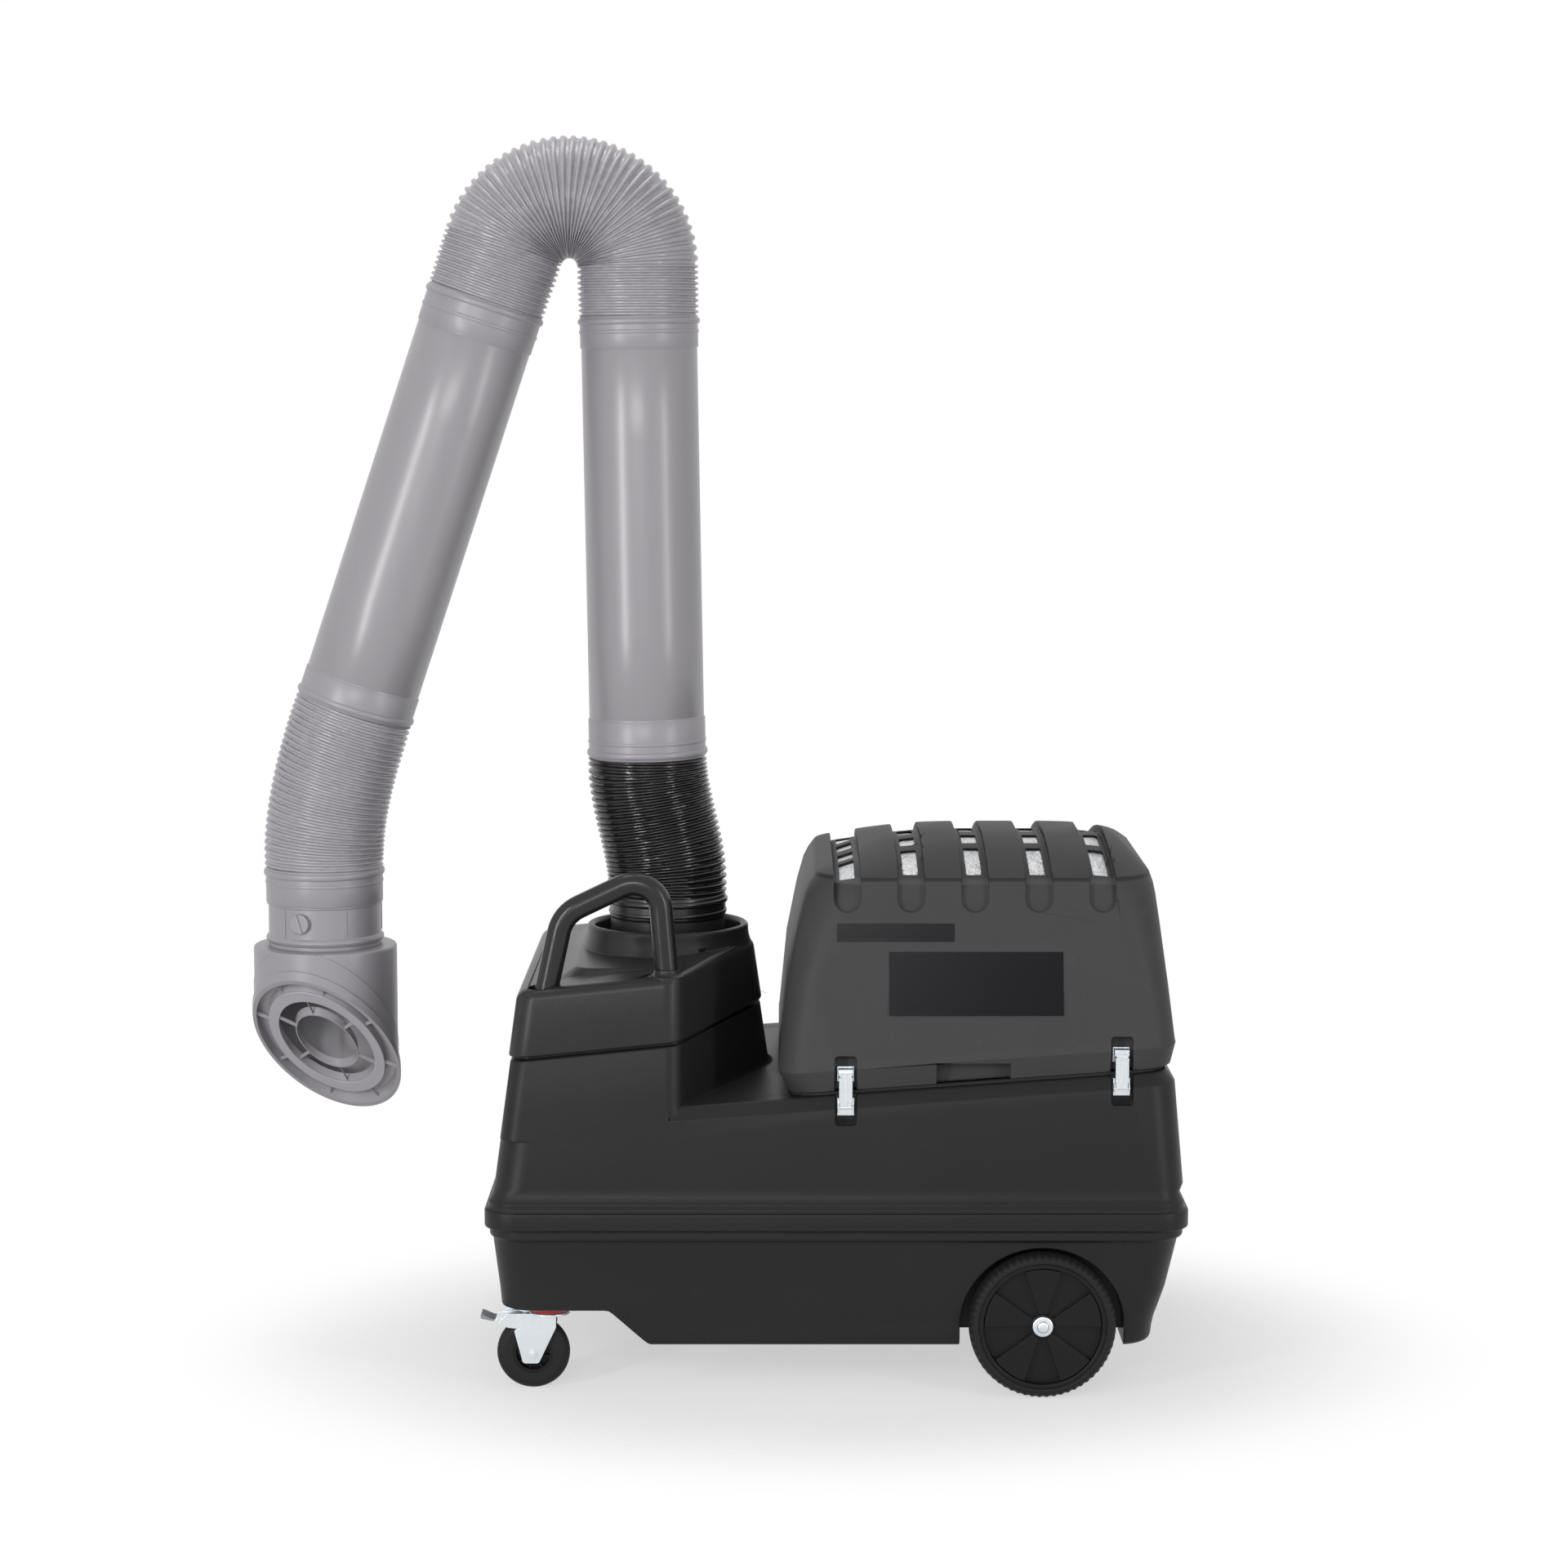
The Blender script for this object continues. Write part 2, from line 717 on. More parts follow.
def on_plane(outline_at, plane):
    """A ring where walls that lean meet a sloping plane, which gives a height for each x."""
    ring = []
    for i in range(len(outline_at(DECK_LOW))):
        z = plane(COLLAR_X)
        for _ in range(5):
            point = outline_at(z)[i]
            z = plane(point.x)
        ring.append(Vector((point.x, point.y, z)))
    return ring


def wall_outline(z, inset):
    return rectangle(wall_left(z) + inset, wall_right(z) - inset, inset - wall_half(z),
                     wall_half(z) - inset, BODY_CORNER - inset)


def wall_ring(inset, height):
    """A ring of the upper walls, at a height or on a sloping plane."""
    if callable(height):
        return on_plane(lambda z: wall_outline(z, inset), height)
    return lift(wall_outline(height, inset), height)


def pedestal_outline(z, grow):
    """Plan of the pedestal at a height: flush walls, a slanting wall each side, and the nose."""
    left, half = wall_left(z) - grow, wall_half(z) + grow
    turn_x = COLLAR_X + ELBOW_OF_WALL_FROM_COLLAR
    nose = NOSE_RADIUS - NOSE_LEAN_SHARE * (z - NOSE_RADIUS_HEIGHT) + grow
    reach = Vector((turn_x - COLLAR_X, half))
    touch = math.atan2(reach.y, reach.x) - math.acos(nose / reach.length)
    tip = COLLAR_X + nose / math.cos(touch)
    corner = PEDESTAL_CORNER + grow
    return rounded([(left, -half, corner, CORNER_STEPS), (turn_x, -half, corner, CORNER_STEPS),
                    (tip, 0, nose, NOSE_STEPS), (turn_x, half, corner, CORNER_STEPS),
                    (left, half, corner, CORNER_STEPS)])


def pedestal_ring(grow, height, rise=0.0):
    """A ring of the pedestal, at a height or at a rise above a sloping plane."""
    if callable(height):
        return on_plane(lambda z: pedestal_outline(z, grow), lambda x: height(x) + rise)
    return lift(pedestal_outline(height, grow), height)


def deck_drop(amount):
    return lambda x: deck(x) - amount


def build_upper_shell():
    rings = [body_ring(0, 0, 0, BELT_BOTTOM, BELT_EDGE),
             body_ring(0, 0, 0, BELT_BOTTOM + BELT_EDGE),
             body_ring(0, 0, 0, BELT_TOP - BELT_EDGE),
             body_ring(0, 0, 0, BELT_TOP, BELT_EDGE),
             body_ring(0, 0, 0, BELT_TOP + BELT_EDGE, LEDGE_SET_BACK),
             body_ring(0, 0, 0, BELT_TOP + LEDGE_RISE, LEDGE_SET_BACK),
             wall_ring(0, WALL_FOOT),
             wall_ring(0, deck_drop(DECK_CHAMFER_DROP)),
             wall_ring(DECK_CHAMFER_RUN, deck)]
    shell = loft("upper_shell", rings, SHELL_BLACK, 0.55)
    top = pedestal_top
    pedestal = loft("pedestal_solid", [
        pedestal_ring(-GAP, PEDESTAL_FOOT),
        pedestal_ring(0, top, -PEDESTAL_EDGE),
        pedestal_ring(-PEDESTAL_EDGE, top),
        pedestal_ring(-LIP_SET_BACK, top),
        pedestal_ring(-LIP_SET_BACK, top, LIP_HEIGHT)])
    combine(shell, pedestal, "UNION")
    inside = loft("shell_cavity", [
        body_ring(0, 0, 0, BELT_BOTTOM - OVERRUN, BELT_EDGE + SHELL_WALL + LEDGE_SET_BACK),
        body_ring(0, 0, 0, BELT_TOP, SHELL_WALL + LEDGE_SET_BACK + BELT_EDGE),
        wall_ring(SHELL_WALL, WALL_FOOT),
        wall_ring(SHELL_WALL, deck_drop(DECK_CHAMFER_DROP + SHELL_WALL)),
        wall_ring(DECK_CHAMFER_RUN + SHELL_WALL, deck_drop(SHELL_WALL))])
    combine(shell, inside)
    well = loft("pedestal_cavity", [
        pedestal_ring(-2 * SHELL_WALL, PEDESTAL_FOOT),
        pedestal_ring(-LIP_SET_BACK - LIP_WIDTH, top),
        pedestal_ring(-LIP_SET_BACK - LIP_WIDTH, top, OVERRUN)])
    combine(shell, well)
    combine(shell, upright("filter_hole", filter_outline(0), PEDESTAL_FOOT, HOOD_WAIST))
    for i, x in enumerate(LATCHES_FROM_COLLAR):
        cut_latch_pocket(shell, i, COLLAR_X + x)
    for i, side in enumerate((-1, 1)):
        add_hinge_ear(shell, f"shell_ear_{i}", side, lower=True)
    cut_panel_window(shell)
    return smooth(shell)


def filter_outline(grow):
    left = COLLAR_X + HOOD_LEFT_FROM_COLLAR + FILTER_OPENING_MARGIN - grow
    right = COLLAR_X + HOOD_RIGHT_FROM_COLLAR - FILTER_OPENING_MARGIN + grow
    half = HOOD_HALF_WIDTH - FILTER_OPENING_MARGIN + grow
    return rectangle(left, right, -half, half, SEAL_WIDTH + grow, 2)


def cut_latch_pocket(shell, index, x):
    """A walled pocket in the near wall, which the latch stands in."""
    level = deck(x)
    half = POCKET_WIDTH / 2
    face = -wall_half(level)
    box = block(f"pocket_wall_{index}",
                (x - half - POCKET_WALL, face + DECK_CHAMFER_RUN, level - POCKET_BELOW - POCKET_WALL),
                (x + half + POCKET_WALL, face + POCKET_DEPTH + POCKET_WALL, level - SHELL_WALL))
    combine(shell, box, "UNION")
    hole = rectangle(x - half, x + half, level - POCKET_BELOW, level + POCKET_BELOW,
                     POCKET_WALL, 3)
    combine(shell, across(f"pocket_{index}", hole, face - OVERRUN, face + POCKET_DEPTH))


def hinge_line(x):
    return deck(x) + HINGE_RISE


def hinge_tilt():
    return math.atan(DECK_RISE_SHARE)


def add_hinge_ear(obj, name, side, lower):
    """Hinge knuckles round the rod, two for the shell and one for the hood at each place."""
    middle = COLLAR_X + (HOOD_LEFT_FROM_COLLAR + HOOD_RIGHT_FROM_COLLAR) / 2 + side * HINGE_SPREAD
    third = HINGE_LENGTH / 3
    spots = [middle - third, middle + third] if lower else [middle]
    for k, x in enumerate(spots):
        z = hinge_line(x)
        knuckle = rod(f"{name}_{k}", HINGE_KNUCKLE, third - 2 * GAP, PIN_STEPS)
        knuckle.rotation_euler = (0, math.pi / 2 - hinge_tilt(), 0)
        knuckle.location = (x, HINGE_Y, z)
        combine(obj, knuckle, "UNION")
        half = third / 2 - GAP
        if lower:
            low = (x - half, wall_half(DECK_LOW) - DECK_CHAMFER_RUN, z - HINGE_RISE - DECK_CHAMFER_DROP)
            high = (x + half, HINGE_Y, z - HINGE_ROD)
        else:
            low = (x - half, HOOD_HALF_WIDTH, z - HINGE_LEAF / 2 + HINGE_LEAF)
            high = (x + half, HINGE_Y, z + HINGE_LEAF / 2 + HINGE_LEAF)
        combine(obj, block(f"{name}_leaf_{k}", low, high), "UNION")
    bore = rod(f"{name}_bore", clear_of(HINGE_ROD, PIN_STEPS), HINGE_LENGTH + OVERRUN, PIN_STEPS)
    bore.rotation_euler = (0, math.pi / 2 - hinge_tilt(), 0)
    bore.location = (middle, HINGE_Y, hinge_line(middle))
    combine(obj, bore)


def build_hinge_rods():
    for name, side in (("hinge_rod_left", -1), ("hinge_rod_right", 1)):
        middle = COLLAR_X + (HOOD_LEFT_FROM_COLLAR + HOOD_RIGHT_FROM_COLLAR) / 2
        x = middle + side * HINGE_SPREAD
        pin = rod(name, HINGE_ROD, HINGE_LENGTH, PIN_STEPS, ZINC, 0.35, 0.9)
        pin.rotation_euler = (0, math.pi / 2 - hinge_tilt(), 0)
        pin.location = (x, HINGE_Y, hinge_line(x))


def build_cap():
    rise = LIP_HEIGHT + GAP
    top = pedestal_top
    rings = [pedestal_ring(CAP_OVERHANG - CAP_BASE_EDGE, top, rise),
             pedestal_ring(CAP_OVERHANG, top, rise + CAP_BASE_EDGE)]
    steps = CORNER_STEPS
    for k in range(steps + 1):
        turn = math.pi / 2 * k / steps
        inset = CAP_EDGE * (1 - math.cos(turn))
        up = CAP_HEIGHT - CAP_EDGE * (1 - math.sin(turn))
        rings.append(pedestal_ring(CAP_OVERHANG - inset, top, rise + up))
    cap = loft("pedestal_cap", rings, SHELL_BLACK, 0.5)
    combine(cap, plateau(), "UNION")
    nose_low = pedestal_top(COLLAR_X + NOSE_RADIUS) + rise + CAP_BASE_EDGE
    flare = NOSE_RADIUS - NOSE_LEAN_SHARE * (nose_low - NOSE_RADIUS_HEIGHT)
    profile = [(0, COLLAR_TOP), (COLLAR_RADIUS - COLLAR_LIP, COLLAR_TOP),
               (COLLAR_RADIUS, COLLAR_TOP - COLLAR_LIP), (COLLAR_RADIUS, COLLAR_WAIST_HEIGHT),
               (COLLAR_FLARE_RADIUS, COLLAR_FLARE_HEIGHT), (flare, nose_low), (0, nose_low)]
    combine(cap, on_collar(turned("collar_solid", profile, FINE_STEPS, closed=False)), "UNION")
    bore = rod("collar_bore", COLLAR_BORE, COLLAR_TOP - COLLAR_SEAT + OVERRUN, ROUND_STEPS)
    bore.location = (COLLAR_X, 0, (COLLAR_TOP + COLLAR_SEAT + OVERRUN) / 2)
    combine(cap, bore)
    ceiling = COLLAR_SEAT - COLLAR_SEAT_THICKNESS
    hollow = loft("cap_cavity", [
        pedestal_ring(-LIP_SET_BACK - LIP_WIDTH, top, -OVERRUN),
        pedestal_ring(-CAP_WALL - CAP_EDGE, top, CAP_HEIGHT - CAP_ROOF)])
    combine(cap, hollow)
    space = rod("duct_space", duct_flange() + CAP_WALL, ceiling - PEDESTAL_TOP_LEFT, FINE_STEPS)
    space.location = (COLLAR_X, 0, (ceiling + PEDESTAL_TOP_LEFT) / 2)
    combine(cap, space)
    duct = rod("duct_hole", DUCT_BORE - SCROLL_WALL, 2 * OVERRUN, ROUND_STEPS)
    duct.location = (COLLAR_X, 0, COLLAR_SEAT)
    combine(cap, duct)
    feet = ((HANDLE_LEFT_FOOT_X, HANDLE_LEFT_FOOT_Z), (HANDLE_RIGHT_FOOT_X, HANDLE_RIGHT_FOOT_Z))
    for i, (x, z) in enumerate(feet):
        boss = rod(f"handle_boss_{i}", HANDLE_RADIUS + CAP_WALL, HANDLE_SOCKET_DEPTH + CAP_WALL,
                   ROUND_STEPS)
        boss.location = (COLLAR_X + x, -HANDLE_Y, z - CAP_EDGE - HANDLE_SOCKET_DEPTH / 2)
        combine(cap, boss, "UNION")
    route = handle_route()
    radii = [HANDLE_RADIUS + GAP] * len(route)
    socket = solid_of(swept("handle_socket", route, radii, HANDLE_RESOLUTION))
    combine(cap, socket)
    return smooth(cap)


def on_collar(obj):
    obj.location.x = COLLAR_X
    return obj


def plateau():
    """The raised flat round the collar, with sloping sides."""
    left, right = COLLAR_X - PLATEAU_LEFT, COLLAR_X + PLATEAU_RIGHT
    half = PLATEAU_HALF_WIDTH
    run = PLATEAU_SLOPE_RUN
    return loft("plateau", [
        lift(rectangle(left - run, right, -half - run, half + run, PLATEAU_CORNER + run),
             PLATEAU_TOP - PLATEAU_SLOPE_DROP),
        lift(rectangle(left, right, -half, half, PLATEAU_CORNER), PLATEAU_TOP)])


def handle_route():
    foot = in_plane(HANDLE_LEFT_FOOT_X, HANDLE_LEFT_FOOT_Z)
    bend = in_plane(HANDLE_LEFT_BEND_X, HANDLE_LEFT_BEND_Z)
    start = foot + (foot - bend).normalized() * HANDLE_SOCKET_DEPTH
    last_bend = in_plane(HANDLE_RIGHT_BEND_X, HANDLE_RIGHT_BEND_Z)
    last = in_plane(HANDLE_RIGHT_FOOT_X, HANDLE_RIGHT_FOOT_Z)
    end = last + (last - last_bend).normalized() * HANDLE_SOCKET_DEPTH
    route = bent([start, bend, last_bend, end],
                 [HANDLE_LEFT_BEND_RADIUS, HANDLE_RIGHT_BEND_RADIUS])
    shift = Vector((COLLAR_X, -HANDLE_Y, 0))
    return [p + shift for p in route]


def build_handle():
    route = handle_route()
    inner = [route[0] + (route[1] - route[0]).normalized() * GAP] + route[1:-1]
    inner.append(route[-1] + (route[-2] - route[-1]).normalized() * GAP)
    radii = [HANDLE_RADIUS] * len(inner)
    smooth(solid_of(swept("push_handle", inner, radii, HANDLE_RESOLUTION), SHELL_BLACK, 0.45))


def tub_ring(z, left, right, side, corner, inset=0):
    outline = rectangle(BODY_LEFT + left + inset, BODY_RIGHT - right - inset,
                        side + inset - BODY_HALF, BODY_HALF - side - inset, corner - inset)
    return lift(outline, z)


def tub_rings(inset):
    top = BELT_BOTTOM - TUB_TOP_GAP
    left, right, side = TUB_WALL_SET_BACK_LEFT, TUB_WALL_SET_BACK_RIGHT, TUB_WALL_SET_BACK_SIDE
    rim = TUB_RIM_SET_BACK
    middle = (left + TUB_MIDDLE_IN_LEFT, right + TUB_MIDDLE_IN_RIGHT, side + TUB_MIDDLE_IN_SIDE)
    low = (left + TUB_LOW_IN_LEFT, right + TUB_LOW_IN_RIGHT, side + TUB_LOW_IN_SIDE)
    edge = TUB_BOTTOM_EDGE
    if inset:
        return [tub_ring(TUB_BOTTOM + inset, *low, TUB_CORNER, inset + edge / 2),
                tub_ring(TUB_LOW, *low, TUB_CORNER, inset),
                tub_ring(TUB_MIDDLE, *middle, TUB_CORNER, inset),
                tub_ring(top - TUB_RIM_HEIGHT, left, right, side, TUB_CORNER, inset),
                tub_ring(top + OVERRUN, left, right, side, TUB_CORNER, inset)]
    return [tub_ring(TUB_BOTTOM, *low, TUB_CORNER, edge),
            tub_ring(TUB_BOTTOM + edge / 3, *low, TUB_CORNER, edge / 3),
            tub_ring(TUB_LOW, *low, TUB_CORNER),
            tub_ring(TUB_MIDDLE, *middle, TUB_CORNER),
            tub_ring(top - TUB_RIM_HEIGHT - BELT_EDGE, left, right, side, TUB_CORNER),
            tub_ring(top - TUB_RIM_HEIGHT, rim, rim, rim, TUB_CORNER),
            tub_ring(top, rim, rim, rim, TUB_CORNER)]


def arch_outline(grow):
    """Wheel arch seen from the side: a half circle with straight sides down to the floor."""
    x, z, r = COLLAR_X + WHEEL_FROM_COLLAR, ARCH_CENTRE_HEIGHT, ARCH_RADIUS + grow
    steps = ROUND_STEPS // 2
    points = [(x - r, TUB_BOTTOM - OVERRUN), (x + r, TUB_BOTTOM - OVERRUN)]
    for k in range(steps + 1):
        turn = math.pi * k / steps
        points.append((x + r * math.cos(turn), z + r * math.sin(turn)))
    return points


def ramp_outline(grow):
    """The raised stretch of the underside over the castors, and the ramp down from it."""
    low = TUB_BOTTOM - OVERRUN
    start = COLLAR_X + RAMP_START_FROM_COLLAR
    end = COLLAR_X + RAMP_END_FROM_COLLAR
    steep = (RAMP_TOP - TUB_BOTTOM) / (end - start)
    foot = end + OVERRUN / steep
    return [(BODY_LEFT - OVERRUN, low), (foot + grow, low), (start + grow, RAMP_TOP + grow),
            (BODY_LEFT - OVERRUN, RAMP_TOP + grow)]


def build_tub():
    tub = loft("tub", tub_rings(0), SHELL_BLACK, 0.55)
    hollow = loft("tub_cavity", tub_rings(SHELL_WALL))
    combine(hollow, across("ramp_skin", ramp_outline(SHELL_WALL), -BODY_HALF, BODY_HALF))
    arch_in = BODY_HALF - ARCH_DEPTH
    for side, name in ((-1, "near"), (1, "far")):
        spans = sorted((side * (arch_in - SHELL_WALL), side * (BODY_HALF + OVERRUN)))
        combine(hollow, across(f"arch_skin_{name}", arch_outline(SHELL_WALL), *spans))
    left = COLLAR_X + WHEEL_FROM_COLLAR - ARCH_RADIUS
    right = COLLAR_X + WHEEL_FROM_COLLAR + ARCH_RADIUS
    floor = TUB_BOTTOM - OVERRUN
    combine(hollow, block("tunnel_skin", (left - SHELL_WALL, -BODY_HALF, floor),
                          (right + SHELL_WALL, BODY_HALF, AXLE_TUNNEL_TOP + SHELL_WALL)))
    combine(tub, hollow)
    combine(tub, across("ramp_cut", ramp_outline(0), -BODY_HALF, BODY_HALF))
    for side, name in ((-1, "near"), (1, "far")):
        spans = sorted((side * arch_in, side * (BODY_HALF + OVERRUN)))
        combine(tub, across(f"arch_{name}", arch_outline(0), *spans))
    combine(tub, block("tunnel_cut", (left, -BODY_HALF, floor), (right, BODY_HALF, AXLE_TUNNEL_TOP)))
    hole = along_y(rod("axle_hole", clear_of(AXLE_RADIUS, SMALL_STEPS), BODY_WIDTH, SMALL_STEPS),
                   COLLAR_X + WHEEL_FROM_COLLAR, 0, WHEEL_RADIUS)
    combine(tub, hole)
    return smooth(tub)


def build_axle():
    """The axle with a washer and a bolt head at each end, turned in one piece."""
    end = WHEEL_OUTER_FACE + AXLE_OVERHANG - WASHER_THICKNESS - BOLT_HEIGHT
    face = end + WASHER_THICKNESS
    tip = face + BOLT_HEIGHT
    upper = [(0, tip), (BOLT_RADIUS, tip), (BOLT_RADIUS, face), (WASHER_RADIUS, face),
             (WASHER_RADIUS, end), (AXLE_RADIUS, end)]
    profile = upper + [(r, -z) for r, z in reversed(upper)]
    axle = turned("axle", profile, SMALL_STEPS, ZINC, 0.3, 0.9, closed=False)
    smooth(along_y(axle, COLLAR_X + WHEEL_FROM_COLLAR, 0, WHEEL_RADIUS))


def build_big_wheel(name, side):
    """A tyre with lugs and a hub with raised wedges. The outer face is at +Z before turning."""
    half = WHEEL_WIDTH / 2
    tread = TREAD_WIDTH / 2
    profile = [(TYRE_BORE + GAP, half), (TYRE_SHOULDER, half), (WHEEL_RADIUS, tread),
               (WHEEL_RADIUS, -tread), (TYRE_SHOULDER, -half), (TYRE_BORE + GAP, -half)]
    tyre = turned(f"{name}_tyre", profile, FINE_STEPS, RUBBER_BLACK, 0.8)
    recess = half - HUB_WEB_DEPTH
    boss = WHEEL_OUTER_FACE + AXLE_OVERHANG - WASHER_THICKNESS - BOLT_HEIGHT - GAP
    boss_top = boss - (WHEEL_OUTER_FACE - half)
    rim = [(TYRE_BORE, half - GAP), (TYRE_BORE, GAP - half), (TYRE_BORE - HUB_RIM_DEPTH, GAP - half),
           (HUB_BOSS_RADIUS, recess - HUB_WEB_THICKNESS), (AXLE_RADIUS + GAP, GAP - half),
           (AXLE_RADIUS + GAP, boss_top), (HUB_BOSS_RADIUS, boss_top), (HUB_BOSS_RADIUS, recess),
           (TYRE_BORE - HUB_RIM_DEPTH, recess), (TYRE_BORE - HUB_RIM_DEPTH, half - GAP)]
    hub = turned(f"{name}_hub", rim, FINE_STEPS, RUBBER_BLACK, 0.4)
    outer = TYRE_BORE - HUB_RIM_DEPTH / 2
    for k in range(HUB_WEDGES):
        middle = math.pi / 2 + 2 * math.pi * k / HUB_WEDGES
        points = []
        for radius, turns in ((HUB_BOSS_RADIUS - GAP, (-1, 1)), (outer, (1, 0, -1))):
            for turn in turns:
                angle = middle + WEDGE_HALF_ANGLE * turn
                points.append(Vector((radius * math.cos(angle), radius * math.sin(angle))))
        combine(hub, upright(f"{name}_wedge_{k}", points, recess - HUB_WEB_THICKNESS / 2,
                             half - WEDGE_DEPTH), "UNION")
    for piece in (tyre, hub):
        piece.rotation_euler = (math.pi / 2 * -side, 0, 0)
        piece.location = (COLLAR_X + WHEEL_FROM_COLLAR, side * (WHEEL_OUTER_FACE - half),
                          WHEEL_RADIUS)
        smooth(piece)
    for step in hub.modifiers:
        if step.type == "BOOLEAN":
            step.object.parent = hub


def build_castor(name, side):
    x, y = COLLAR_X + CASTOR_FROM_COLLAR, side * CASTOR_Y
    axle_x = x - CASTOR_TRAIL
    plate_low = RAMP_TOP - GAP - CASTOR_PLATE_THICKNESS
    plate = upright(f"{name}_plate",
                    rectangle(x - CASTOR_PLATE_LENGTH / 2, x + CASTOR_PLATE_LENGTH / 2,
                              y - CASTOR_PLATE_WIDTH / 2, y + CASTOR_PLATE_WIDTH / 2,
                              CASTOR_PLATE_CORNER, 2), plate_low, RAMP_TOP - GAP, ZINC, 0.35, 0.9)
    head_low = plate_low - CASTOR_HEAD_HEIGHT
    head = rod(f"{name}_head", CASTOR_HEAD_RADIUS, CASTOR_HEAD_HEIGHT + CASTOR_PLATE_THICKNESS / 2,
               SMALL_STEPS)
    head.location = (x, y, head_low + CASTOR_HEAD_HEIGHT / 2 + CASTOR_PLATE_THICKNESS / 4)
    combine(plate, head, "UNION")
    smooth(plate)
    build_fork(name, x, y, axle_x, head_low - GAP)
    build_castor_wheel(name, axle_x, y)
    build_pedal(name, x, y)


def build_fork(name, x, y, axle_x, top):
    """A crown disc with two tapering legs, and the axle between them."""
    z = CASTOR_RADIUS
    low = top - FORK_CROWN_THICKNESS
    crown = rod(f"{name}_fork", FORK_CROWN_RADIUS, FORK_CROWN_THICKNESS, FINE_STEPS // 2,
                ZINC, 0.35, 0.9)
    crown.location = (x, y, (top + low) / 2)
    leg = [(axle_x - FORK_BACK, z - FORK_FOOT_HALF / 2), (axle_x - FORK_FOOT_HALF, z - FORK_FOOT_BELOW),
           (axle_x + FORK_FOOT_HALF, z - FORK_FOOT_BELOW),
           (axle_x + FORK_FOOT_HALF + FORK_SHEET, z - FORK_FOOT_HALF / 2),
           (axle_x + FORK_FRONT_TOP, z + FORK_FRONT_RISE), (axle_x + FORK_FRONT_TOP, low + GAP),
           (axle_x - FORK_BACK, low + GAP)]
    half = CASTOR_WIDTH / 2 + FORK_CLEARANCE
    for k, flank in enumerate((-1, 1)):
        spans = sorted((y + flank * half, y + flank * (half + FORK_SHEET)))
        combine(crown, across(f"{name}_leg_{k}", leg, *spans), "UNION")
    pin = along_y(rod(f"{name}_fork_pin", CASTOR_AXLE, 2 * half + 4 * FORK_SHEET, SMALL_STEPS),
                  axle_x, y, z)
    combine(crown, pin, "UNION")
    hole = clear_of(PEDAL_PIN, PIN_STEPS)
    combine(crown, pedal_pivot(x, y, hole, half + 2 * FORK_SHEET))
    smooth(crown)


def build_castor_wheel(name, axle_x, y):
    half = CASTOR_WIDTH / 2
    edge = CASTOR_TYRE_EDGE
    tyre = [(CASTOR_TYRE_BORE + GAP, half), (CASTOR_RADIUS - edge, half),
            (CASTOR_RADIUS, half - edge), (CASTOR_RADIUS, edge - half),
            (CASTOR_RADIUS - edge, -half), (CASTOR_TYRE_BORE + GAP, -half)]
    boss = CASTOR_HUB_BOSS_WIDTH / 2
    web = CASTOR_HUB_WEB / 2
    rim = CASTOR_TYRE_BORE - CASTOR_HUB_RIM
    bore = CASTOR_AXLE + GAP
    hub = [(CASTOR_TYRE_BORE, half - GAP), (CASTOR_TYRE_BORE, GAP - half), (rim, GAP - half),
           (CASTOR_HUB_BOSS, -web), (CASTOR_HUB_BOSS, -boss), (bore, -boss),
           (bore, boss), (CASTOR_HUB_BOSS, boss), (CASTOR_HUB_BOSS, web), (rim, half - GAP)]
    for part, profile, colour, steps in ((f"{name}_tyre", tyre, RUBBER_BLACK, ROUND_STEPS),
                                         (f"{name}_hub", hub, HOOD_BLACK, SMALL_STEPS)):
        smooth(along_y(turned(part, profile, steps, colour, 0.6), axle_x, y, CASTOR_RADIUS))


def pedal_pivot(x, y, radius, half):
    """The pedal's pivot pin, or the hole for it, across the fork's legs."""
    pin = rod("pedal_pin", radius, 2 * half, PIN_STEPS)
    return along_y(pin, x - PEDAL_PIVOT_OFFSET, y, PEDAL_PIVOT_HEIGHT)


def build_pedal(name, x, y):
    """The brake pedal: a flat arm from its pivot between the fork's legs to a tipped pad."""
    reach = x - PEDAL_REACH
    pad_in = reach + PEDAL_PAD_LENGTH
    top = PEDAL_PAD_TOP
    thick = PEDAL_ARM_THICKNESS
    pivot_x = x - PEDAL_PIVOT_OFFSET
    end = pivot_x + PEDAL_PIN + thick / 2
    pad_low = top - PEDAL_PAD_THICKNESS
    under, over = PEDAL_PIVOT_HEIGHT - thick / 2, PEDAL_PIVOT_HEIGHT + thick / 2
    arm = [(reach, pad_low + thick), (pad_in, pad_low), (pivot_x - 2 * thick, under), (end, under),
           (end, over), (pivot_x - 2 * thick, over), (pad_in, top - GAP), (reach + thick, top)]
    half = PEDAL_WIDTH / 2
    pedal = across(f"{name}_pedal", arm, y - half, y + half, ZINC, 0.4, 0.9)
    leg = CASTOR_WIDTH / 2 + FORK_CLEARANCE + FORK_SHEET - GAP
    combine(pedal, pedal_pivot(x, y, PEDAL_PIN, leg), "UNION")


def hood_ring(left, right, half, height, corner, inset):
    return lift(rectangle(COLLAR_X + left + inset, COLLAR_X + right - inset,
                          inset - half, half - inset, max(corner - inset, SHELL_WALL)), height)


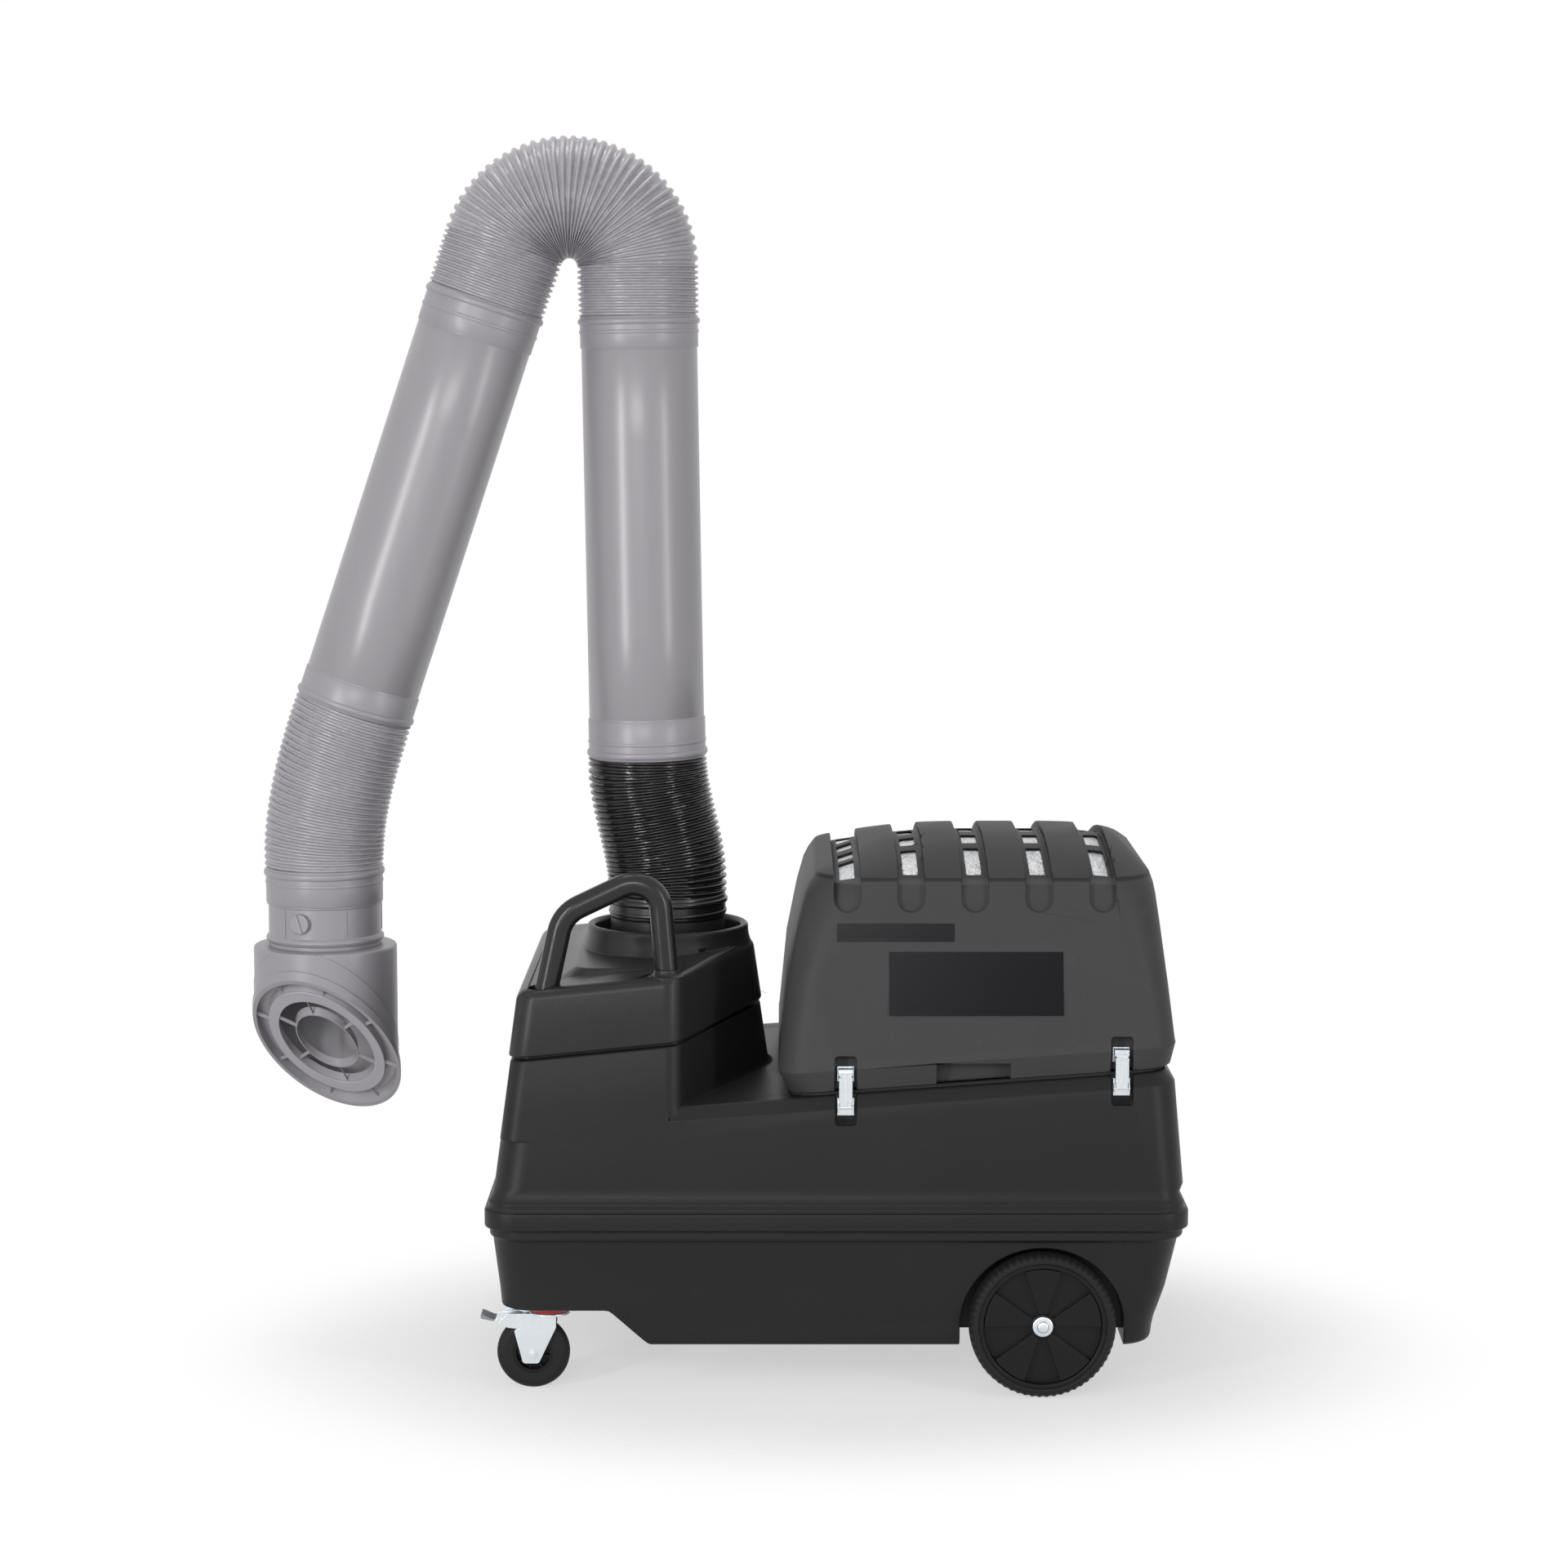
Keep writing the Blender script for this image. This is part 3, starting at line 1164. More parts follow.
def hood_rings(wall_in, roof_in, base_drop=0.0):
    """The hood's outer form, or one set in from it by a wall and a roof thickness."""
    left, right, half = HOOD_LEFT_FROM_COLLAR, HOOD_RIGHT_FROM_COLLAR, HOOD_HALF_WIDTH
    wide = (left - BAND_FLARE_LEFT, right + BAND_FLARE_RIGHT, half + BAND_FLARE_SIDE)
    band_top = hood_seat(COLLAR_X + right) + BAND_HEIGHT

    def section(z):
        up = z - band_top
        return (wide[0] + HOOD_LEFT_LEAN_SHARE * up, wide[1] - HOOD_RIGHT_LEAN_SHARE * up,
                wide[2] - HOOD_SIDE_LEAN_SHARE * up)

    corner = HOOD_CORNER
    rings = [hood_ring(left, right, half, lambda x: hood_seat(x) - base_drop, corner, wall_in),
             hood_ring(*wide, lambda x: hood_seat(x) + BAND_HEIGHT, corner, wall_in),
             hood_ring(*section(HOOD_WAIST), HOOD_WAIST, corner, wall_in),
             hood_ring(*section(HOOD_SHOULDER), HOOD_SHOULDER - roof_in, corner, wall_in)]
    crown = HOOD_RIDGE - HOOD_BREAK
    l, r, h = section(HOOD_BREAK)
    for share, end_share in ROOF_RISE_AND_END_SHARES:
        z = HOOD_BREAK + crown * share
        width = h * math.sqrt(1 - share)
        move = (r - l) * end_share
        rings.append(hood_ring(l + move, r - move, width, z - roof_in,
                               min(corner + move / 4, width - wall_in - GAP), wall_in))
    return rings


def inner_rings(wall_in, roof_in, base_drop=0.0):
    """The plainer form inside the hood: rim, band, shoulder and three rings of the roof."""
    rings = hood_rings(wall_in, roof_in, base_drop)
    return rings[:2] + rings[3:5] + rings[6::2]


def build_hood():
    hood = loft("filter_hood", hood_rings(0, 0), HOOD_BLACK, 0.5)
    combine(hood, loft("hood_cavity", inner_rings(HOOD_WALL_IN, HOOD_ROOF_IN, OVERRUN)))
    grooves = channel_columns()
    combine(grooves, loft("channel_floor", hood_rings(CHANNEL_WALL_IN, CHANNEL_ROOF_IN)[2:]))
    combine(hood, grooves)
    combine(hood, vent_columns())
    for i, x in enumerate(LATCHES_FROM_COLLAR):
        cut_hood_pocket(hood, i, COLLAR_X + x)
    cut_grip(hood)
    for i, side in enumerate((-1, 1)):
        add_hinge_ear(hood, f"hood_ear_{i}", side, lower=False)
    return smooth(hood, math.radians(28))


def channel_x(k):
    return COLLAR_X + CHANNEL_MIDDLE_FROM_COLLAR + (k - (CHANNELS - 1) / 2) * CHANNEL_PITCH


def channel_columns():
    """Round-ended grooves over the roof and down both walls, as one cutter of separate bars."""
    bm = bmesh.new()
    half = CHANNEL_WIDTH / 2
    for k in range(CHANNELS):
        x = channel_x(k)
        outline = [(x + half, HOOD_RIDGE + OVERRUN), (x - half, HOOD_RIDGE + OVERRUN)]
        for j in range(CHANNEL_STEPS + 1):
            turn = math.pi + math.pi * j / CHANNEL_STEPS
            outline.append((x + half * math.cos(turn), CHANNEL_BOTTOM + half + half * math.sin(turn)))
        front = [bm.verts.new((px, -HOOD_HALF_WIDTH - OVERRUN, pz)) for px, pz in outline]
        back = [bm.verts.new((px, HOOD_HALF_WIDTH + OVERRUN, pz)) for px, pz in outline]
        for i in range(len(front)):
            j = (i + 1) % len(front)
            bm.faces.new((front[i], front[j], back[j], back[i]))
        bm.faces.new(front)
        bm.faces.new(list(reversed(back)))
    return place("channels", mesh_of("channels", bm))


def vent_columns():
    """Four long slots through the floor of each groove."""
    bm = bmesh.new()
    for k in range(CHANNELS):
        for near, far in (VENT_LONG, VENT_SHORT):
            for side in (-1, 1):
                size = Vector((VENT_WIDTH, far - near, HOOD_RIDGE - CHANNEL_BOTTOM))
                spot = Vector((channel_x(k), side * (near + far) / 2,
                               (HOOD_RIDGE + CHANNEL_BOTTOM) / 2 + OVERRUN / 2))
                bmesh.ops.create_cube(bm, size=1, matrix=Matrix.LocRotScale(spot, None, size))
    return place("vents", mesh_of("vents", bm))


def inside_hood(box, tag):
    """Trims a backing block to the hood's outer form, just under its skin."""
    form = loft(f"hood_form_{tag}", hood_rings(GAP, GAP, -GAP))
    return combine(box, form, "INTERSECT")


def cut_hood_pocket(hood, index, x):
    """A walled pocket in the hood's near wall, above the one in the shell."""
    seat = hood_seat(x)
    half = POCKET_WIDTH / 2
    face = -HOOD_HALF_WIDTH
    low, high = seat, seat + POCKET_ABOVE
    box = block(f"hood_pocket_wall_{index}",
                (x - half - POCKET_WALL, face - OVERRUN, low - OVERRUN),
                (x + half + POCKET_WALL, face + POCKET_DEPTH + POCKET_WALL, high + POCKET_WALL))
    combine(hood, inside_hood(box, index), "UNION")
    hole = rectangle(x - half, x + half, low - POCKET_BELOW, high, POCKET_WALL, 3)
    combine(hood, across(f"hood_pocket_{index}", hole, face - 2 * OVERRUN, face + POCKET_DEPTH))


def cut_grip(hood):
    """The hand recess in the middle of the near rim."""
    x = COLLAR_X + GRIP_FROM_COLLAR
    seat = hood_seat(x)
    half = GRIP_WIDTH / 2
    face = -HOOD_HALF_WIDTH
    box = block("grip_wall", (x - half - POCKET_WALL, face - OVERRUN, seat - OVERRUN),
                (x + half + POCKET_WALL, face + GRIP_DEPTH + POCKET_WALL,
                 seat + GRIP_HEIGHT + POCKET_WALL))
    combine(hood, inside_hood(box, "grip"), "UNION")
    combine(hood, block("grip", (x - half, face - 2 * OVERRUN, seat - OVERRUN),
                        (x + half, face + GRIP_DEPTH, seat + GRIP_HEIGHT)))


def build_vent_mesh():
    """A bowed sheet of filter mesh under the roof of the hood."""
    drop = HOOD_ROOF_IN + GAP
    rings = inner_rings(HOOD_WALL_IN + GAP, drop)[2:]
    low = HOOD_SHOULDER - MESH_SKIRT
    outer = loft("vent_mesh", [lift(rings[0], low)] + rings, FILTER_SILVER, 0.5, 0.6)
    under = inner_rings(HOOD_WALL_IN + GAP + MESH_THICKNESS, drop + MESH_THICKNESS)[2:]
    combine(outer, loft("mesh_hollow", [lift(under[0], low - OVERRUN)] + under))
    return smooth(outer)


def build_seal():
    """The gasket that the hood closes on."""
    left = COLLAR_X + HOOD_LEFT_FROM_COLLAR + SEAL_SET_BACK
    right = COLLAR_X + HOOD_RIGHT_FROM_COLLAR - SEAL_SET_BACK
    half = HOOD_HALF_WIDTH - SEAL_SET_BACK
    outer = rectangle(left, right, -half, half, HOOD_CORNER)
    inner = rectangle(left + SEAL_WIDTH, right - SEAL_WIDTH, SEAL_WIDTH - half,
                      half - SEAL_WIDTH, HOOD_CORNER - SEAL_WIDTH)
    seal = loft("hood_seal", [lift(outer, deck_drop(-GAP)), lift(outer, deck_drop(GAP - HOOD_SEAT_GAP))],
                RUBBER_BLACK, 0.8)
    combine(seal, loft("seal_hole", [lift(inner, deck_drop(OVERRUN)), lift(inner, deck_drop(-OVERRUN))]))


def build_filter():
    """A pleated cassette that hangs in the deck opening by its flange."""
    bm = bmesh.new()
    rim = filter_outline(FILTER_FLANGE)
    body = filter_outline(-2 * GAP)
    top = FILTER_FLANGE_THICKNESS
    cassette = loft("filter_cassette", [lift(body, deck_drop(FILTER_DEPTH)),
                                        lift(body, deck_drop(-top / 2))], FILTER_SILVER, 0.8)
    flange = loft("filter_flange", [lift(rim, deck_drop(-GAP)), lift(rim, deck_drop(-GAP - top))])
    combine(cassette, flange, "UNION")
    left, right = min(p.x for p in body), max(p.x for p in body)
    half = max(p.y for p in body) - FILTER_FLANGE
    pitch = (right - left) / (PLEATS + 1)
    for k in range(PLEATS):
        x = left + pitch * (k + 1)
        high = deck(x) + OVERRUN
        groove = [(x - pitch / 3, -half, high), (x + pitch / 3, -half, high),
                  (x, -half, deck(x) - PLEAT_DEPTH)]
        front = [bm.verts.new(p) for p in groove]
        back = [bm.verts.new((px, half, pz)) for px, _, pz in groove]
        for i in range(3):
            j = (i + 1) % 3
            bm.faces.new((front[i], front[j], back[j], back[i]))
        bm.faces.new(front)
        bm.faces.new(list(reversed(back)))
    combine(cassette, place("pleats", mesh_of("pleats", bm)))


def build_latch(name, x):
    """The base in the shell's pocket, the catch on the hood, and the lever that joins them."""
    level = deck(x)
    floor_y = -wall_half(level) + POCKET_DEPTH
    half = LATCH_WIDTH / 2
    base_low = level - LATCH_BASE_DROP
    lever_back = -LATCH_FACE + LEVER_THICKNESS
    pivot_z = level - LEVER_PIVOT_DROP
    base = block(f"{name}_base", (x - half, floor_y - LATCH_PLATE - GAP, base_low),
                 (x + half, floor_y - GAP, base_low + LATCH_BASE_HEIGHT), ZINC, 0.3, 0.9)
    lever_half = LEVER_WIDTH / 2
    for k, side in enumerate((-1, 1)):
        near, far = sorted((x + side * (lever_half + GAP), x + side * (lever_half + 2 * LATCH_PLATE)))
        ear = block(f"{name}_ear_{k}", (near, lever_back - LEVER_THICKNESS, pivot_z - 2 * LEVER_THICKNESS),
                    (far, floor_y - LATCH_PLATE, pivot_z + 2 * LEVER_THICKNESS))
        combine(base, ear, "UNION")
    pin = rod(f"{name}_pin", LEVER_PIVOT_RADIUS / 2, LEVER_WIDTH + 3 * LATCH_PLATE, PIN_STEPS)
    pin.rotation_euler = (0, math.pi / 2, 0)
    pin.location = (x, lever_back - LEVER_THICKNESS / 2, pivot_z)
    combine(base, pin, "UNION")
    tail = LEVER_THICKNESS / 2
    lever = block(f"{name}_lever", (x - lever_half, -LATCH_FACE, pivot_z - tail),
                  (x + lever_half, lever_back, pivot_z + LEVER_LENGTH), ZINC, 0.3, 0.9)
    hole = rod(f"{name}_lever_bore", clear_of(LEVER_PIVOT_RADIUS / 2, PIN_STEPS), 2 * LEVER_WIDTH, PIN_STEPS)
    hole.rotation_euler = (0, math.pi / 2, 0)
    hole.location = pin.location
    combine(lever, hole)
    seat = hood_seat(x)
    catch_floor = -HOOD_HALF_WIDTH + POCKET_DEPTH
    catch_low = seat + LATCH_CATCH_RISE
    catch = block(f"{name}_catch", (x - half, catch_floor - LATCH_PLATE - GAP, catch_low),
                  (x + half, catch_floor - GAP, catch_low + LATCH_CATCH_HEIGHT), ZINC, 0.3, 0.9)
    nose = block(f"{name}_nose", (x - half + LATCH_PLATE, lever_back + GAP,
                                  catch_low + LATCH_CATCH_HEIGHT / 2),
                 (x + half - LATCH_PLATE, catch_floor - LATCH_PLATE,
                  catch_low + LATCH_CATCH_HEIGHT - LATCH_PLATE))
    combine(catch, nose, "UNION")


def build_fan():
    x = COLLAR_X + FAN_FROM_COLLAR
    floor = TUB_BOTTOM + SHELL_WALL + GAP
    profile = [(0, floor + MOTOR_HEIGHT), (MOTOR_FLANGE, floor + MOTOR_HEIGHT),
               (MOTOR_FLANGE, floor + MOTOR_HEIGHT - MOTOR_FLANGE_THICKNESS),
               (MOTOR_RADIUS, floor + MOTOR_HEIGHT - MOTOR_FLANGE_THICKNESS)]
    pitch = (MOTOR_HEIGHT - MOTOR_FLANGE_THICKNESS) / (2 * MOTOR_FINS)
    for k in range(MOTOR_FINS):
        z = floor + MOTOR_HEIGHT - MOTOR_FLANGE_THICKNESS - pitch * (2 * k + 1)
        profile += [(MOTOR_RADIUS, z), (MOTOR_RADIUS - FIN_DEPTH, z),
                    (MOTOR_RADIUS - FIN_DEPTH, z - pitch / 2), (MOTOR_RADIUS, z - pitch / 2)]
    profile += [(MOTOR_RADIUS, floor), (0, floor)]
    motor = turned("fan_motor", profile, FINE_STEPS // 2, FAN_GREY, 0.4, 0.7, closed=False)
    motor.location.x = x
    smooth(motor)
    scroll_low = floor + MOTOR_HEIGHT + GAP
    build_scroll(x, scroll_low)
    build_impeller(x, scroll_low)


def volute(name, x, grow, low, high, *finish):
    """A spiral that widens over one turn and runs out into a straight duct towards +X."""
    points = []
    steps = FINE_STEPS // 2
    for k in range(steps + 1):
        turn = 2 * math.pi * k / steps
        radius = SCROLL_RADIUS + SCROLL_GROWTH * k / steps + grow
        points.append(Vector((x + radius * math.sin(turn), radius * math.cos(turn))))
    spiral = upright(name, list(reversed(points)), low, high, *finish)
    reach = SCROLL_OUTLET_LENGTH
    if not grow:
        reach += OVERRUN
    duct = block(name + "_duct", (x - GAP, SCROLL_RADIUS - grow, low),
                 (x + reach, SCROLL_RADIUS + SCROLL_GROWTH + grow, high))
    return combine(spiral, duct, "UNION")


def build_scroll(x, low):
    wall = SCROLL_WALL
    scroll = volute("fan_scroll", x, wall, low, low + SCROLL_HEIGHT, FAN_GREY, 0.45, 0.7)
    combine(scroll, volute("scroll_hollow", x, 0, low + wall, low + SCROLL_HEIGHT - wall))
    eye = rod("scroll_eye", SCROLL_INLET, 2 * OVERRUN, ROUND_STEPS)
    eye.location = (x, 0, low + SCROLL_HEIGHT)
    combine(scroll, eye)
    shaft = rod("scroll_shaft_hole", clear_of(SHAFT_RADIUS, SMALL_STEPS), 2 * OVERRUN, SMALL_STEPS)
    shaft.location = (x, 0, low)
    combine(scroll, shaft)


def build_impeller(x, scroll_low):
    """Back disc, hub and curved blades in one piece."""
    low = scroll_low + SCROLL_WALL + OVERRUN / 2
    profile = [(0, low + IMPELLER_HEIGHT / 2), (IMPELLER_HUB, low + IMPELLER_HEIGHT / 2),
               (IMPELLER_HUB, low + IMPELLER_DISC), (IMPELLER_RADIUS, low + IMPELLER_DISC),
               (IMPELLER_RADIUS, low), (SHAFT_RADIUS, low),
               (SHAFT_RADIUS, scroll_low + GAP), (0, scroll_low + GAP)]
    wheel = turned("fan_impeller", profile, ROUND_STEPS, FAN_GREY, 0.4, 0.7, closed=False)
    for k in range(IMPELLER_BLADES):
        spin = 2 * math.pi * k / IMPELLER_BLADES
        blade = block(f"blade_{k}", (IMPELLER_INNER, -BLADE_THICKNESS / 2, low + IMPELLER_DISC / 2),
                      (IMPELLER_RADIUS - BLADE_THICKNESS, BLADE_THICKNESS / 2, low + IMPELLER_HEIGHT))
        blade.rotation_euler.z = spin
        combine(wheel, blade, "UNION")
        blade.parent = wheel
    wheel.location.x = x
    smooth(wheel)


def panel_pose(x, z):
    """Where a panel piece stands: on the far wall, tipped back with it."""
    lean = math.atan(SIDE_LEAN_SHARE)
    return Matrix.Translation((x, wall_half(z), z)) @ Matrix.Rotation(lean, 4, "X")


def panel_middle():
    return panel_pose(COLLAR_X + PANEL_FROM_COLLAR, PANEL_MIDDLE)


def cut_panel_window(shell):
    """The opening in the far wall behind the panel, for the bodies of its switches."""
    inset = PANEL_CORNER
    half, tall = PANEL_LENGTH / 2 - inset, PANEL_HEIGHT / 2 - inset
    window = block("panel_window", (-half, -OVERRUN, -tall), (half, OVERRUN, tall))
    window.matrix_world = panel_middle()
    combine(shell, window)


def build_panel():
    pose = panel_middle()
    outline = rectangle(-PANEL_LENGTH / 2, PANEL_LENGTH / 2, -PANEL_HEIGHT / 2, PANEL_HEIGHT / 2,
                        PANEL_CORNER, 3)
    plate = across("control_panel", outline, GAP, PANEL_THICKNESS + GAP, HOOD_BLACK, 0.4)
    plate.matrix_world = pose
    xs = {name: share * PANEL_PITCH for name, share in PANEL_PLACE_SHARES.items()}
    depth = (-OVERRUN, OVERRUN)
    clear = ROCKER_SLOT_CLEARANCE
    cutters_here = [
        block("rocker_slot", (xs["rocker"] - ROCKER_WIDTH / 2 - clear, depth[0], -ROCKER_HEIGHT / 2 - clear),
              (xs["rocker"] + ROCKER_WIDTH / 2 + clear, depth[1], ROCKER_HEIGHT / 2 + clear)),
        block("socket_slot", (xs["socket"] - SOCKET_WIDTH / 2 - GAP, depth[0], -SOCKET_HEIGHT / 2 - GAP),
              (xs["socket"] + SOCKET_WIDTH / 2 + GAP, depth[1], SOCKET_HEIGHT / 2 + GAP)),
        along_y(rod("button_hole", BUTTON_RADIUS + GAP, 2 * OVERRUN, ROUND_STEPS // 2),
                xs["button"], 0, 0),
        along_y(rod("lamp_hole", LAMP_RADIUS + GAP, 2 * OVERRUN, SMALL_STEPS), xs["lamp"], 0, 0)]
    for cutter in cutters_here:
        cutter.matrix_world = pose @ local_matrix(cutter)
        combine(plate, cutter)
    rocker = across("power_rocker", rocker_outline(), -ROCKER_HEIGHT / 2, ROCKER_HEIGHT / 2,
                    RUBBER_BLACK, 0.4)
    rocker.matrix_world = (pose @ Matrix.Translation((xs["rocker"], 0, 0))
                           @ Matrix.Rotation(-math.pi / 2, 4, "X"))
    reach = ROCKER_HEIGHT + 2 * clear + 2 * ROCKER_PIN_REACH
    pivot = (xs["rocker"], PANEL_THICKNESS / 2 + GAP, 0)
    pin = rod("rocker_pin", ROCKER_PIN, reach, PIN_STEPS)
    hole = rod("rocker_hole", clear_of(ROCKER_PIN, PIN_STEPS), reach + 2 * GAP, PIN_STEPS)
    for piece, owner, way in ((pin, rocker, "UNION"), (hole, plate, "DIFFERENCE")):
        piece.location = pivot
        piece.matrix_world = pose @ local_matrix(piece)
        combine(owner, piece, way)
    button = along_y(rod("start_button", BUTTON_RADIUS, BUTTON_DEPTH, ROUND_STEPS // 2,
                         (0.02, 0.30, 0.06), 0.4), xs["button"], 0, 0)
    shift = PANEL_THICKNESS + BUTTON_PROUD - BUTTON_DEPTH / 2
    button.matrix_world = pose @ Matrix.Translation((0, shift, 0)) @ local_matrix(button)
    lamp = along_y(rod("status_lamp", LAMP_RADIUS, BUTTON_DEPTH, SMALL_STEPS, (0.5, 0.05, 0.03), 0.2),
                   xs["lamp"], 0, 0)
    shift = PANEL_THICKNESS + GAP + BUTTON_PROUD / 2 - BUTTON_DEPTH / 2
    lamp.matrix_world = pose @ Matrix.Translation((0, shift, 0)) @ local_matrix(lamp)
    build_mains_inlet(pose, xs["socket"])


def local_matrix(obj):
    return Matrix.LocRotScale(obj.location, obj.rotation_euler, None)


def rocker_outline():
    """A shallow rocker, seen along its pivot: high at both ends and lower in the middle."""
    half, deep = ROCKER_WIDTH / 2, ROCKER_DEPTH / 2
    proud = PANEL_THICKNESS + BUTTON_PROUD / 2
    return [(-half, -deep), (half, -deep), (half, proud / 2), (0, PANEL_THICKNESS), (-half, proud)]


def build_mains_inlet(pose, x):
    half, tall = SOCKET_WIDTH / 2, SOCKET_HEIGHT / 2
    front = PANEL_THICKNESS
    inlet = block("mains_inlet", (x - half, front - SOCKET_DEPTH, -tall), (x + half, front, tall),
                  RUBBER_BLACK, 0.5)
    rim = PANEL_THICKNESS
    well = block("inlet_well", (x - half + rim, front - SOCKET_DEPTH + rim, -tall + rim),
                 (x + half - rim, front + OVERRUN, tall - rim))
    well.matrix_world = pose
    inlet.matrix_world = pose
    combine(inlet, well)
    for k in (-1, 0, 1):
        pin = along_y(rod(f"inlet_pin_{k + 1}", PIN_RADIUS, PIN_LENGTH, PIN_STEPS),
                      x + k * PIN_PITCH, front - SOCKET_DEPTH + rim / 2 + PIN_LENGTH / 2, 0)
        pin.matrix_world = pose @ local_matrix(pin)
        combine(inlet, pin, "UNION")


def elbow_centre():
    return in_plane(COLLAR_X + ELBOW_FROM_COLLAR, ELBOW_HEIGHT)


def inner_way():
    """The way up along the inner tube."""
    return in_plane(-math.sin(INNER_TILT), math.cos(INNER_TILT))


def outer_way():
    """The way down along the outer tube."""
    return in_plane(-math.sin(OUTER_TILT), -math.cos(OUTER_TILT))


def inner_point(below):
    """A point on the inner tube's axis, below the start of the elbow's bend."""
    start = elbow_centre() + in_plane(math.cos(INNER_TILT), math.sin(INNER_TILT)) * ELBOW_BEND
    return start - inner_way() * below


def outer_point(below):
    """A point on the outer tube's axis, below the end of the elbow's bend."""
    end = elbow_centre() + in_plane(-math.cos(OUTER_TILT), math.sin(OUTER_TILT)) * ELBOW_BEND
    return end + outer_way() * below


INNER_SEAM = INNER_HOSE_STRAIGHT + TOP_CUFF_INNER
INNER_LOW_SEAM = INNER_SEAM + INNER_TUBE_LENGTH
INNER_HOSE_END = INNER_LOW_SEAM + LOW_CUFF_INNER
OUTER_SEAM = OUTER_HOSE_STRAIGHT + TOP_CUFF_OUTER
OUTER_LOW_SEAM = OUTER_SEAM + OUTER_TUBE_LENGTH
OUTER_HOSE_END = OUTER_LOW_SEAM + LOW_CUFF_OUTER


def stand_along(obj, foot, way):
    """Moves a shape made up Z so that it starts at foot and points along way."""
    turn = Vector((0, 0, 1)).rotation_difference(way)
    obj.rotation_euler = turn.to_euler()
    obj.location = foot
    return obj


def cuff_profile(length, seam_overlap):
    """A sleeve with a bead. It starts at the tube's seam and ends at the hose."""
    inner = TUBE_RADIUS + GAP
    outer = inner + CUFF_WALL
    bead = outer + CUFF_BEAD
    ridge = length - CUFF_BEAD_WIDTH
    return [(HOSE_VALLEY + CUFF_WALL, length - GAP), (bead, ridge), (outer, ridge - CUFF_BEAD_WIDTH),
            (outer, 0), (inner, 0), (inner, seam_overlap), (HOSE_BORE, length - GAP)]


def build_cuff(name, foot, way, length, colour):
    profile = cuff_profile(length, CUFF_OVERLAP)
    return smooth(stand_along(turned(name, profile, ROUND_STEPS, colour, 0.3), foot, way))


def build_tubes():
    """The two rigid ducts, whose ends sit a little way inside their cuffs."""
    for name, point, top, length, way in (
            ("inner_tube", inner_point, INNER_SEAM, INNER_TUBE_LENGTH, -inner_way()),
            ("outer_tube", outer_point, OUTER_SEAM, OUTER_TUBE_LENGTH, outer_way())):
        hidden = CUFF_OVERLAP - GAP
        tube = pipe(name, TUBE_RADIUS, TUBE_RADIUS - TUBE_WALL, -hidden, length + hidden,
                    ROUND_STEPS, ARM_GREY, 0.35)
        smooth(stand_along(tube, point(top), way))


def base_hose_route():
    start = in_plane(COLLAR_X, BASE_CUFF_TOP)
    end = inner_point(INNER_HOSE_END)
    return eased(start, in_plane(0, 1), end, inner_way())


def elbow_hose_route():
    centre = elbow_centre()
    route = [inner_point(INNER_HOSE_STRAIGHT)]
    steps = 48
    for k in range(steps + 1):
        turn = INNER_TILT + (math.pi - OUTER_TILT - INNER_TILT) * k / steps
        route.append(centre + in_plane(math.cos(turn), math.sin(turn)) * ELBOW_BEND)
    route.append(outer_point(OUTER_HOSE_STRAIGHT))
    return route


def wrist_hose_route():
    start = outer_point(OUTER_HOSE_END)
    end = in_plane(COLLAR_X + NOZZLE_FROM_COLLAR, WRIST_HOSE_END)
    return eased(start, outer_way(), end, in_plane(0, -1))


def build_hoses():
    smooth(ribbed("base_hose", base_hose_route(), BASE_HOSE_RIBS, HOSE_BLACK))
    smooth(ribbed("elbow_hose", elbow_hose_route(), ELBOW_HOSE_RIBS, HOSE_GREY))
    smooth(ribbed("wrist_hose", wrist_hose_route(), WRIST_HOSE_RIBS, HOSE_GREY))


def build_cuffs():
    up = in_plane(0, 1)
    build_cuff("base_cuff", in_plane(COLLAR_X, BASE_CUFF_BOTTOM), up,
               BASE_CUFF_TOP - BASE_CUFF_BOTTOM, HOSE_BLACK)
    build_cuff("inner_low_cuff", inner_point(INNER_LOW_SEAM), -inner_way(), LOW_CUFF_INNER, HOSE_GREY)
    build_cuff("inner_top_cuff", inner_point(INNER_SEAM), inner_way(), TOP_CUFF_INNER, HOSE_GREY)
    build_cuff("outer_top_cuff", outer_point(OUTER_SEAM), -outer_way(), TOP_CUFF_OUTER, HOSE_GREY)
    build_cuff("outer_low_cuff", outer_point(OUTER_LOW_SEAM), outer_way(), LOW_CUFF_OUTER, HOSE_GREY)
    build_cuff("wrist_cuff", in_plane(COLLAR_X + NOZZLE_FROM_COLLAR, WRIST_CUFF_BOTTOM), up,
               WRIST_HOSE_END - WRIST_CUFF_BOTTOM, HOSE_GREY)


def build_turntable():
    """The flanged pipe that turns in the collar and carries the arm."""
    low = COLLAR_SEAT + GAP
    top = TURNTABLE_TOP
    pipe_in = TUBE_RADIUS - 2 * TUBE_WALL
    profile = [(TUBE_RADIUS, top), (TUBE_RADIUS, low + TURNTABLE_FLANGE_THICKNESS),
               (TURNTABLE_FLANGE, low + TURNTABLE_FLANGE_THICKNESS), (TURNTABLE_FLANGE, low),
               (pipe_in, low), (pipe_in, top)]
    smooth(on_collar(turned("turntable", profile, ROUND_STEPS, SHELL_BLACK, 0.45)))


def duct_flange():
    return DUCT_BORE + DUCT_FLANGE_WIDTH


